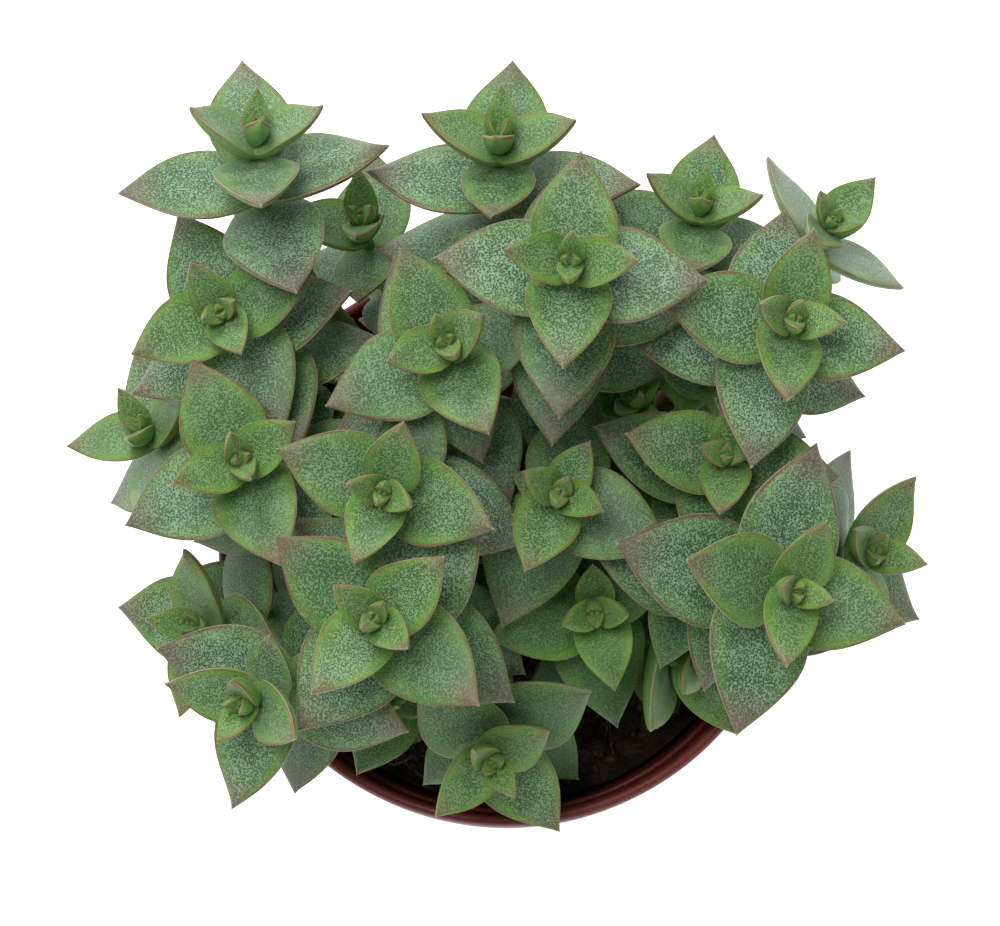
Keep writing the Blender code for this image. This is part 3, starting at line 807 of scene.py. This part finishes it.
SHOOTS = (
    Shoot(-0.033, 0.045, 0.052, 30, 65, 95, 0.00, 0.0185, 6),
    Shoot(-0.038, 0.022, 0.044, 15, 290, 120, 0.75, 0.0180),
    Shoot(-0.035, 0.002, 0.044, 10, 330, 115, 0.00, 0.0190),
    Shoot(-0.051, 0.012, 0.020, 15, 150, 105, 0.25, 0.0180, 7),
    Shoot(-0.043, -0.016, 0.020, 15, 180, 170, 0.25, 0.0195, 7),
    Shoot(-0.035, -0.029, 0.034, 30, 215, 70, 0.25, 0.0190, 8),
    Shoot(-0.017, -0.020, 0.050, 5, 235, 140, 0.50, 0.0195),
    Shoot(-0.002, -0.035, 0.020, 20, 290, 130, 0.25, 0.0180, 6),
    Shoot(-0.016, -0.004, 0.052, 20, 255, 160, 0.25, 0.0180),
    Shoot(-0.008, 0.015, 0.056, 5, 295, 115, 0.00, 0.0175, 10),
    Shoot(0.008, 0.023, 0.066, 10, 255, 85, 0.00, 0.0180, 10),
    Shoot(-0.001, 0.045, 0.050, 20, 100, 85, 0.25, 0.0185),
    Shoot(0.026, 0.038, 0.042, 20, 90, 80, 0.00, 0.0165, 8),
    Shoot(0.037, 0.018, 0.056, 10, 310, 170, 0.50, 0.0185),
    Shoot(0.046, 0.042, 0.018, 0, 40, 140, 0.25, 0.0160, 6),
    Shoot(0.007, -0.002, 0.042, 10, 290, 155, 0.50, 0.0185, 8),
    Shoot(0.012, -0.015, 0.024, 20, 245, 10, 0.25, 0.0190, 6),
    Shoot(0.029, 0.003, 0.042, 10, 200, 170, 0.00, 0.0185),
    Shoot(0.037, -0.017, 0.052, 15, 310, 165, 0.00, 0.0200),
    Shoot(-0.020, 0.039, 0.030, 10, 100, 90, 0.50, 0.0175, 7),
    Shoot(0.051, -0.005, 0.016, 5, 350, 160, 0.50, 0.0190, 7),
    Shoot(0.017, 0.014, 0.028, 10, 120, 50, 0.50, 0.0175, 7),
    Shoot(0.027, -0.020, 0.010, 20, 300, 25, 0.50, 0.0185, 6),
    Shoot(-0.016, -0.026, 0.018, 10, 250, 60, 0.50, 0.0150, 6),
    Shoot(-0.022, 0.023, 0.022, 10, 90, 35, 0.50, 0.0175, 6),
)


@dataclass(frozen=True)
class Growth:
    """How a leaf pair changes with its age, counted in pairs from the tip, as in the model."""

    ages: tuple[float, ...] = (0, 1, 2, 3, 4, 5, 6, 7, 8, 9, 10, 11)
    lengths: tuple[float, ...] = (0.06, 0.18, 0.38, 0.62, 0.85, 1.00, 1.03, 1.00, 0.97, 0.95, 0.93, 0.92)
    rises: tuple[float, ...] = (76, 70, 58, 36, 20, 8, 0, -6, -10, -13, -15, -17)
    depths: tuple[float, ...] = (0.00, 0.03, 0.08, 0.18, 0.34, 0.53, 0.76, 1.04, 1.35, 1.68, 2.02, 2.36)
    curls: tuple[float, ...] = (0.10, 0.10, 0.10, 0.07, 0.03, 0.00, -0.03, -0.05, -0.06, -0.06, -0.06, -0.06)
    stub: float = 0.14
    width: float = 0.215
    swell: float = 5.2
    point: float = 1.20
    top: float = 0.035
    belly: float = 0.105

    def at(self, series: Sequence[float], age: float) -> float:
        """Value of a series at an age."""
        return float(np.interp(age, self.ages, series))

    def half_width(self, share: Array) -> Array:
        """Half of the leaf's width: widest at a third of its length, then narrowing to a point."""
        return self.width * (1 - share) ** self.point * (1 + self.swell * share)

    def fullness(self, share: Array) -> Array:
        """How full the leaf's body is at a share of its length."""
        return (1 - share) ** 0.6 * (1 + 0.8 * share)


GROWTH = Growth()


@dataclass(frozen=True)
class StemSizes:
    """Sizes of the stems and how they run, as in the model."""

    radius: float = 0.0019
    green_radius: float = 0.0013
    bud_radius: float = 0.0006
    root_depth: float = 0.005
    root_reach: float = 0.062
    root_edge: float = 0.0075
    root_spacing: float = 0.0075
    root_rounds: int = 40
    rising: float = 0.50
    rising_step: float = 0.002
    leaning: float = 0.30
    clearance: float = 0.0003


STEM = StemSizes()


def place_roots() -> list[Vector]:
    """Foot of each stem: below its tip but drawn in toward the pot's axis, and apart from the others.

    Returns:
        One point for each shoot.
    """
    edge = POT.wall_inside(POT.soil_level) - STEM.root_edge
    roots = [Vector((s.x, s.y, 0)) * (edge / STEM.root_reach) for s in SHOOTS]
    for _ in range(STEM.root_rounds):
        for i, root in enumerate(roots):
            for other in roots[:i]:
                apart = root - other
                short = STEM.root_spacing - apart.length
                if short > 0:
                    root += apart.normalized() * short / 2
                    other -= apart.normalized() * short / 2
            if root.length > edge:
                root *= edge / root.length
    return [root + Vector((0, 0, POT.soil_level - STEM.root_depth)) for root in roots]


class Route:
    """Curve of one shoot, from its root in the soil to its tip, with a frame that follows it."""

    SAMPLES = 97

    def __init__(self, shoot: Shoot, root: Vector) -> None:
        """Run the shoot from its root to its tip, higher if it would meet the pot.

        Args:
            shoot: The shoot's plan.
            root: Foot of its stem.
        """
        self.shoot = shoot
        self.root = root
        self.tip = Vector((shoot.x, shoot.y, POT.height + shoot.rise))
        lean, bearing = math.radians(shoot.lean), math.radians(shoot.bearing)
        flat = Vector((math.cos(bearing), math.sin(bearing), 0))
        self.axis = flat * math.sin(lean) + Vector((0, 0, 1)) * math.cos(lean)
        heading = POT.height + STEM.rising * shoot.rise
        self.points = self.curve(heading)
        while self.meets_pot() and heading < self.tip.z:
            heading += STEM.rising_step
            self.points = self.curve(heading)
        self.depths = [0.0]
        for a, b in zip(self.points, self.points[1:]):
            self.depths.append(self.depths[-1] + (b - a).length)
        tilt = Vector((0, 0, 1)).rotation_difference(self.axis)
        roll = math.radians(shoot.roll)
        self.side = tilt @ Vector((math.cos(roll), math.sin(roll), 0))

    def curve(self, heading: float) -> list[Vector]:
        """Points of a cubic Bezier curve from the tip down to the root.

        Args:
            heading: Height up to which the stem heads straight up.

        Returns:
            The curve's points.
        """
        back = self.axis * STEM.leaning * (self.tip - self.root).length
        a, b, c, d = self.tip, self.tip - back, Vector((self.root.x, self.root.y, heading)), self.root
        steps = [i / (self.SAMPLES - 1) for i in range(self.SAMPLES)]
        return [a * (1 - t) ** 3 + b * 3 * (1 - t) * (1 - t) * t + c * 3 * (1 - t) * t * t + d * t**3
                for t in steps]

    def meets_pot(self) -> bool:
        """Whether the stem comes too near to the pot's wall or lip."""
        room = STEM.radius + STEM.clearance
        return any(math.hypot(p.x, p.y) + room > POT.room_inside(p.z - room) for p in self.points)

    @property
    def length(self) -> float:
        """Length of the whole shoot."""
        return self.depths[-1]

    def at(self, depth: float) -> tuple[Vector, Vector, Vector]:
        """Frame of the shoot at a place along it.

        Args:
            depth: Distance below the tip.

        Returns:
            The point, the upward direction and the side direction.
        """
        depth = min(max(depth, 0.0), self.length)
        i = max(1, int(np.searchsorted(self.depths, depth)))
        share = (depth - self.depths[i - 1]) / (self.depths[i] - self.depths[i - 1])
        point = self.points[i - 1].lerp(self.points[i], share)
        up = (self.points[i - 1] - self.points[i]).normalized()
        side = (self.side - up * self.side.dot(up)).normalized()
        return point, up, side

    def leaf_depth(self, number: float) -> float:
        """Distance below the tip of a leaf pair, counted from the tip."""
        return GROWTH.at(GROWTH.depths, number + self.shoot.age) * self.shoot.leaf

    @property
    def leafy_length(self) -> float:
        """Length of the green shoot that carries the leaves."""
        return self.leaf_depth(self.shoot.pairs) + GROWTH.stub * self.shoot.leaf


@dataclass
class Leaf:
    """One leaf: where it leaves its stem, the frame it grows in, and its size and curl."""

    owner: int
    number: int
    base: Vector
    outward: Vector
    up: Vector
    rise: float
    length: float
    curl: float
    age: float

    def turned(self, pitch: float, yaw: float, grown: float) -> "Leaf":
        """The same leaf, turned up by pitch and sideways by yaw, in degrees, and resized."""
        outward = Matrix.Rotation(math.radians(yaw), 3, self.up) @ self.outward
        return Leaf(self.owner, self.number, self.base, outward, self.up, self.rise + pitch,
                    self.length * grown, self.curl, self.age)

    def place(self, share: Array, aside: Array, lift: Array) -> Array:
        """Points of the leaf.

        Args:
            share: Share of its length along it.
            aside: Share of its length across it.
            lift: Share of its length out of its face.

        Returns:
            One row of coordinates for each point.
        """
        rise = math.radians(self.rise)
        along = np.array(self.outward * math.cos(rise) + self.up * math.sin(rise))
        across = np.array(self.up.cross(self.outward))
        face = np.array(self.up * math.cos(rise) - self.outward * math.sin(rise))
        lift = lift + self.curl * share**2
        rows = share[:, None] * along + aside[:, None] * across + lift[:, None] * face
        return np.array(self.base) + rows * self.length


@dataclass
class Crowd:
    """Settles the leaves among each other, as in the model: the highest first, each next one as
    near as it can to how it would grow freely."""

    routes: list[Route]
    first_pair: int = 2
    pitches: tuple[int, ...] = (0, 5, -5, 10, -10, 15, -15, 20, -20)
    yaws: tuple[int, ...] = (0, 5, -5, 10, -10)
    grown: tuple[float, ...] = (1.00, 0.92, 0.84, 0.76, 0.68, 0.60, 0.50, 0.40)
    cost_per_degree: float = 0.16
    cost_of_size: float = 12.0
    ball_share: float = 0.075
    stations: tuple[float, ...] = (0.0, 0.12, 0.24, 0.36, 0.48, 0.60, 0.72, 0.84, 0.95)
    columns: tuple[float, ...] = (-0.85, -0.43, 0.0, 0.43, 0.85)
    stem_ball: float = 0.0023
    stem_step: float = 0.0015
    reach: float = 0.003

    def __post_init__(self) -> None:
        """Record the balls that stand for the stems."""
        share, column = np.meshgrid(self.stations, self.columns, indexing="ij")
        self.share, self.column = share.ravel(), column.ravel()
        self.centres, self.radii, self.owners = np.empty((0, 3)), np.empty(0), np.empty(0, int)
        for owner, route in enumerate(self.routes):
            steps = np.arange(0.0, route.length, self.stem_step)
            self.record(np.array([route.at(d)[0] for d in steps]), self.stem_ball, owner)

    def record(self, centres: Array, radius: float, owner: int) -> None:
        """Record balls that belong to a shoot.

        Args:
            centres: Their centres.
            radius: The radius of them all.
            owner: Number of the shoot.
        """
        self.centres = np.concatenate([self.centres, centres])
        self.radii = np.concatenate([self.radii, np.full(len(centres), radius)])
        self.owners = np.concatenate([self.owners, np.full(len(centres), owner)])

    def balls(self, leaf: Leaf) -> Array:
        """Centres of the balls that stand for a leaf's body."""
        middle = (GROWTH.top - GROWTH.belly) / 2
        return leaf.place(self.share, self.column * GROWTH.half_width(self.share),
                          middle * GROWTH.fullness(self.share))

    def gap(self, leaf: Leaf) -> float:
        """Smallest gap between a leaf and the other shoots, the pot and the soil.

        Args:
            leaf: The leaf.

        Returns:
            The gap, at most the reach that is looked over, and negative where they meet.
        """
        balls, radius = self.balls(leaf), self.ball_share * leaf.length
        middle = balls.mean(axis=0)
        reach = np.abs(balls - middle).max() + radius + self.reach
        near = (np.abs(self.centres - middle).max(axis=1) < reach) & (self.owners != leaf.owner)
        gaps = [self.reach]
        if near.any():
            apart = np.sqrt(sum((balls[:, None, k] - self.centres[near, k]) ** 2 for k in range(3)))
            gaps.append(float((apart - self.radii[near]).min()) - radius)
        out, height = np.hypot(balls[:, 0], balls[:, 1]), balls[:, 2] - radius
        gaps.append(float((height - POT.soil_level - POT.soil_mound).min()))
        over_lip = (out + radius > POT.wall_inside(POT.soil_level)) & (out - radius < POT.rim_radius)
        if over_lip.any():
            gaps.append(float((height[over_lip] - POT.height).min()))
        return min(gaps)

    def settle(self) -> list[list[Leaf]]:
        """Give every leaf its place.

        Returns:
            The leaves of each shoot.
        """
        ways = [(p, y, g) for p in self.pitches for y in self.yaws for g in self.grown]
        ways.sort(key=lambda w: self.cost_per_degree * (abs(w[0]) + abs(w[1]))
                  + self.cost_of_size * (1 - w[2]))
        waiting = [leaf for i, route in enumerate(self.routes)
                   for leaf in free_leaves(i, route, self.first_pair)]
        waiting.sort(key=lambda leaf: -self.balls(leaf)[:, 2].mean())
        settled: list[list[Leaf]] = [[] for _ in self.routes]
        for leaf in waiting:
            tries = (leaf.turned(*way) for way in ways)
            placed = next((t for t in tries if self.gap(t) > STEM.clearance), None)
            if placed is None:
                placed = max((leaf.turned(p, y, self.grown[-1]) for p in self.pitches for y in self.yaws),
                             key=self.gap)
            self.record(self.balls(placed), self.ball_share * placed.length, placed.owner)
            settled[leaf.owner].append(placed)
        return settled


def free_leaves(owner: int, route: Route, first: int, last: int | None = None) -> list[Leaf]:
    """The leaves of a shoot as they would grow with no neighbours, youngest pair first.

    Args:
        owner: Number of the shoot.
        route: Its curve.
        first: Number of the first pair.
        last: Number of the last pair, or None for the shoot's lowest.

    Returns:
        Two opposite leaves for each pair.
    """
    leaves = []
    shoot = route.shoot
    for number in range(first, (last or shoot.pairs) + 1):
        age = number + shoot.age
        base, up, side = route.at(route.leaf_depth(number))
        for half in range(2):
            turn = Matrix.Rotation(math.pi * half + math.pi / 2 * (number % 2), 3, up)
            leaves.append(Leaf(owner, number, base, turn @ side, up, GROWTH.at(GROWTH.rises, age),
                               shoot.leaf * GROWTH.at(GROWTH.lengths, age),
                               GROWTH.at(GROWTH.curls, age), age))
    return leaves


# ---------------------------------------------------------------- leaves and stems


@dataclass
class LeafPair:
    """Two opposite leaves as one fleshy body, joined across the stem between them."""

    leaf: Leaf
    other: Leaf
    seed: int
    sunlight: float  # from 0 in the crown's depth to 1 in the open; low values paint shade into the skin
    bloom_and_sheen: float  # how much paler the skin is: thicker bloom and painted sheen
    stations: int = 57
    columns: int = 36
    valley: float = 0.06  # how far from the stem the fold between the leaves is rounded
    joint: float = 0.14  # how far from the stem one leaf's shape passes into the other's
    bead: float = 0.014  # half of the margin's thickness
    bluntness: float = 0.5  # how far out the belly stays full
    wave: float = 0.014  # unevenness of the margin
    wave_turn: float = 9.0  # radians of that along a leaf
    flutter: float = 0.012  # rise and fall of the margin
    flutter_turn: float = 6.0  # radians of that along a leaf
    curl_spread: float = 0.02  # how far leaves differ in their curl
    twist: float = 0.12  # radians that a blade may turn toward its tip
    ages: tuple[float, ...] = (0, 1, 2, 3, 4, 5, 6)
    fatness: tuple[float, ...] = (4.0, 2.8, 1.9, 1.45, 1.15, 1.0, 1.0)  # thickness, to a grown leaf's
    broadness: tuple[float, ...] = (1.2, 0.76, 0.70, 0.83, 1.0, 1.0, 1.0)  # width, to a grown leaf's
    cupping: tuple[float, ...] = (0.20, 0.26, 0.30, 0.26, 0.14, 0.06, 0.03)  # rise of the margins
    youths: tuple[float, ...] = (1.0, 1.0, 0.90, 0.62, 0.34, 0.10, 0.0)

    def surface(self) -> tuple[Array, Array, Array]:
        """Work out the body on a grid of stations along it and columns round it.

        At a station u from -1 to 1 the middle line stands at u along the leaves' joint direction
        and |u| up their slope, with |u| rounded near 0. Across it the body is a lens: the upper
        face is low and the belly full, both fall to the margin with the squared sine of the
        column's angle, and a thin bead rounds the margin.

        Returns:
            Rings of points, with the zone and kind attributes of each point.
        """
        a, b = self.leaf, self.other
        rng = np.random.default_rng(self.seed)
        u = np.sin(np.linspace(-1, 1, self.stations) * math.pi / 2)
        share = np.abs(u)
        side = smooth_step(-self.joint, self.joint, u)[:, None]

        def blend(for_a: Any, for_b: Any) -> Array:
            """Value along the body that passes from one leaf's to the other's."""
            return side * np.asarray(for_a, float) + (1 - side) * np.asarray(for_b, float)

        up = np.array(a.up)
        heading = unit(blend(a.outward, -b.outward))
        length = blend(a.length, b.length)
        rise = np.radians(blend(a.rise, b.rise))
        slope = (np.sqrt(share**2 + self.valley**2) - self.valley)[:, None]
        spine = np.array(a.base) + (heading * u[:, None] * np.cos(rise) + up * slope * np.sin(rise)) * length
        across = unit(np.cross(up, heading))
        along = unit(np.gradient(spine, axis=0))
        face = unit(np.cross(along, across))
        curl = blend(a.curl, b.curl) + rng.uniform(-self.curl_spread, self.curl_spread)
        spine = spine + face * curl * share[:, None] ** 2 * length
        turn = self.twist * rng.uniform(-1, 1) * u[:, None]
        across, face = (across * np.cos(turn) + face * np.sin(turn),
                        face * np.cos(turn) - across * np.sin(turn))

        angle = np.arange(self.columns) * TAU / self.columns
        cosine, sine = np.cos(angle)[None], np.sin(angle)[None]
        inner = np.minimum(share, 1.0)[:, None]
        fat, broad, cup, youth = (float(np.interp(a.age, self.ages, series)) for series in (
            self.fatness, self.broadness, self.cupping, self.youths))
        wide = GROWTH.half_width(inner) * broad
        ripple = 1 + self.wave * np.sin(
            self.wave_turn * u[:, None] + rng.uniform(0, TAU) + np.sign(cosine) * rng.uniform(0, 2))
        full = GROWTH.fullness(inner)
        lens = 1 - cosine**2
        belly = -GROWTH.belly * full * lens**self.bluntness
        lift = np.where(sine > 0, GROWTH.top * full * lens, belly) * fat
        lift = lift + self.bead * np.sqrt(full) * sine + cup * (wide * cosine) ** 2 / GROWTH.width
        lift = lift + self.flutter * cosine**2 * np.sin(
            self.flutter_turn * u[:, None] + rng.uniform(0, TAU))
        aside = wide * ripple * cosine
        section = across[:, None] * aside[..., None] + face[:, None] * lift[..., None]
        rings = spine[:, None] + section * length[..., None]

        shape = rings.shape[:2]
        # Tone: random, lowered as painted shade where little sunlight falls, and raised by thicker bloom and
        # painted sheen.
        tone_and_painted_light = self.sunlight * rng.uniform(0.4, 1.0) + self.bloom_and_sheen * (1 - youth)
        red = (0.15 + 0.85 * self.sunlight) * rng.uniform(0.75, 1.0)
        zones = np.stack([np.broadcast_to(np.abs(cosine), shape), np.broadcast_to(share[:, None], shape),
                          np.full(shape, youth)], -1)
        kinds = np.stack([np.broadcast_to((sine > -0.05).astype(float), shape), np.full(shape, tone_and_painted_light),
                          np.full(shape, red)], -1)
        return rings, zones, kinds


@dataclass
class PlantShoot:
    """One shoot as it looks: its leafy green part and its bare corky stem."""

    number: int
    route: Route
    leaves: list[Leaf]
    sides: int = 16
    rings: int = 60
    node_swell: float = 0.16  # how much thicker the stem is where leaves have fallen
    node_spacing: float = 0.0048
    sunny_height: tuple[float, float] = (0.012, 0.040)  # above the lip, from shade to sun
    sunny_radius: tuple[float, float] = (0.024, 0.036)
    # Where the skin is painted paler, as thicker bloom and as sheen of the back light.
    bloom_and_sheen_back: tuple[float, float] = (0.025, 0.050)
    bloom_and_sheen_radius: tuple[float, float] = (0.044, 0.056)
    bloom_and_sheen_share: float = 0.30

    def tube(self, top: float, foot: float, thick: float, thin: float, swell: float) -> tuple[Array, Array]:
        """Rings of the stem between two depths below the tip.

        The radius grows evenly from thin to thick, with a low ring at each old leaf joint.

        Args:
            top: Depth of the upper end.
            foot: Depth of the lower end.
            thick: Radius at the foot.
            thin: Radius at the top.
            swell: How much the leaf joints stand out.

        Returns:
            Rings of points, and each point's share of the way up as its zone.
        """
        depths = np.linspace(foot, top, self.rings)
        frames = [self.route.at(float(d)) for d in depths]
        centre = np.array([f[0] for f in frames])
        side = np.array([f[2] for f in frames])
        over = np.cross(np.array([f[1] for f in frames]), side)
        share = np.linspace(0, 1, self.rings)[:, None]
        joints = np.cos(depths * TAU / self.node_spacing)[:, None] ** 16 * swell
        radius = (thick + (thin - thick) * share) * (1 + joints)
        turn = np.arange(self.sides)[None] * TAU / self.sides
        ring = side[:, None] * np.cos(turn)[..., None] + over[:, None] * np.sin(turn)[..., None]
        zones = np.broadcast_to(share[..., None], (self.rings, self.sides, 3)).copy()
        return centre[:, None] + ring * radius[..., None], zones

    def sunlight(self, place: Vector) -> float:
        """Share of the light that reaches a place: all of it high up or at the crown's outside. It sets the
        leaf skin's painted shade.

        Args:
            place: The place.

        Returns:
            From 0 to 1.
        """
        high = smooth_step(*self.sunny_height, np.array(place.z - POT.height))
        outside = smooth_step(*self.sunny_radius, np.array(math.hypot(place.x, place.y)))
        return float(np.maximum(high, outside))

    def bloom_and_sheen(self, place: Vector) -> float:
        """Extra paleness at a place, partly thicker bloom and partly painted sheen of the back light: most
        on the crown's back and on its outermost shoots.

        Args:
            place: The place.

        Returns:
            From 0 to twice the share of bloom and painted sheen.
        """
        back = smooth_step(*self.bloom_and_sheen_back, np.array(place.y))
        rim = smooth_step(*self.bloom_and_sheen_radius, np.array(math.hypot(place.x, place.y)))
        return float(self.bloom_and_sheen_share * back + self.bloom_and_sheen_share * rim)

    def build_leaves(self, material: Any) -> Any:
        """Make the green shoot with its leaf pairs, and the bud's youngest pairs.

        Args:
            material: The leaf skin.

        Returns:
            The leafy shoot's object.
        """
        surface = Surface()
        length = self.route.leafy_length
        rings, zones = self.tube(0.0, length, STEM.green_radius, STEM.bud_radius, 0.0)
        green = np.zeros_like(zones) + np.array((0.2, 0.3, 0.8))
        surface.add_tube(rings, green, np.zeros_like(zones) + np.array((0.0, 0.6, 0.2)))
        buds = free_leaves(self.number, self.route, 0, 1)
        grown = sorted(self.leaves, key=lambda leaf: leaf.number)
        together = buds + grown
        for leaf, other in zip(together[::2], together[1::2]):
            seed = self.number * 20 + leaf.number
            pair = LeafPair(leaf, other, seed, self.sunlight(leaf.base), self.bloom_and_sheen(leaf.base))
            surface.add_tube(*pair.surface())
        return surface.build(f"leafy_shoot_{self.number:02d}", material, "leaf_green",
                             [f"leaves_{self.number:02d}"])

    def build_stem(self, material: Any) -> Any:
        """Make the bare stem below the leaves.

        Args:
            material: The bark.

        Returns:
            The stem's object.
        """
        surface = Surface()
        top = self.route.leafy_length + STEM.clearance
        rings, zones = self.tube(top, self.route.length, STEM.radius, STEM.green_radius, self.node_swell)
        surface.add_tube(rings, zones)
        return surface.build(f"bare_stem_{self.number:02d}", material, "stem_bark",
                             [f"stem_{self.number:02d}"])


# ---------------------------------------------------------------- studio


@dataclass
class Studio:
    """White table, soft overhead light and the camera, high above the plant's front."""

    elevation: float = 78.0  # degrees above the horizon
    distance: float = 0.500
    target: tuple[float, float, float] = (-0.00094, 0.0109, 0.070)
    lens: float = 124.9  # mm, on a sensor 36 mm wide
    table: float = 12.0

    def build_camera(self) -> None:
        """Place the camera and make it the scene's."""
        camera = bpy.data.cameras.new("camera")
        camera.lens, camera.sensor_width, camera.clip_start = self.lens, 36.0, 0.01
        eye = bpy.data.objects.new("camera", camera)
        bpy.context.scene.collection.objects.link(eye)
        tilt = math.radians(self.elevation)
        eye.location = Vector(self.target) + Vector((0, -math.cos(tilt), math.sin(tilt))) * self.distance
        eye.rotation_euler = (math.pi / 2 - tilt, 0, 0)
        bpy.context.scene.camera = eye

    def build_table(self) -> None:
        """Make the white table top that the pot stands on, lit through like a light table."""
        half = self.table / 2
        mesh = bpy.data.meshes.new("white_table")
        corners = [(-half, -half, 0), (half, -half, 0), (half, half, 0), (-half, half, 0)]
        mesh.from_pydata(corners, [], [(0, 1, 2, 3)])
        material = bpy.data.materials.new("white_acrylic_table")
        material.use_nodes = True
        shader = material.node_tree.nodes["Principled BSDF"]
        shader.inputs["Base Color"].default_value = linear("#f6f6f6")
        shader.inputs["Roughness"].default_value = 0.9
        shader.inputs["Emission Color"].default_value = linear("#fbfcff")
        shader.inputs["Emission Strength"].default_value = 0.85
        mesh.materials.append(material)
        table = bpy.data.objects.new("white_table", mesh)
        bpy.context.scene.collection.objects.link(table)

    def build_lights(self) -> None:
        """Light the plant softly from above and behind, with a weak fill from the front right."""
        scene = bpy.context.scene
        scene.view_settings.view_transform = "Standard"
        world = bpy.data.worlds.new("studio")
        world.use_nodes = True
        sky = world.node_tree.nodes["Background"]
        sky.inputs["Color"].default_value = linear("#f8fbff")
        sky.inputs["Strength"].default_value = 0.30
        scene.world = world
        for name, place, size, power in (
            ("overhead_softbox", (-0.20, 0.10, 0.95), 0.45, 4.8),
            ("back_softbox", (-0.30, 0.75, 0.75), 0.45, 5.5),
            ("front_softbox", (0.35, -0.55, 0.80), 0.45, 1.0),
        ):
            light = bpy.data.lights.new(name, "AREA")
            light.shape, light.size, light.energy = "DISK", size, power
            lamp = bpy.data.objects.new(name, light)
            lamp.location = place
            aim = Vector(self.target) - Vector(place)
            lamp.rotation_euler = aim.to_track_quat("-Z", "Y").to_euler()
            scene.collection.objects.link(lamp)

    def build(self) -> None:
        """Set up the camera, the table and the lights."""
        self.build_camera()
        self.build_table()
        self.build_lights()


def main() -> None:
    """Build the studio and every piece of the potted plant."""
    Studio().build()
    NurseryPot(POT).build(PotFinish().build())
    soil = PottingSoil(POT)
    soil.build(SoilFinish().build())
    soil.scatter(Litter.CRUMB, SoilFinish("composted_bark", "#2f231c", "#7a6150", 0.0006).build())
    soil.scatter(Litter.FIBRE, SoilFinish("coir_fibre", "#5d4936", "#a58c6c", 0.0004).build())
    soil.scatter(Litter.GRIT, SoilFinish("perlite_grit", "#8d877c", "#c9c3b6", 0.0004).build())
    routes = [Route(shoot, root) for shoot, root in zip(SHOOTS, place_roots())]
    skin, bark = LeafFinish().build(), StemFinish().build()
    for number, (route, leaves) in enumerate(zip(routes, Crowd(routes).settle()), start=1):
        shoot = PlantShoot(number, route, leaves)
        shoot.build_leaves(skin)
        shoot.build_stem(bark)


if __name__ == "__main__":
    main()
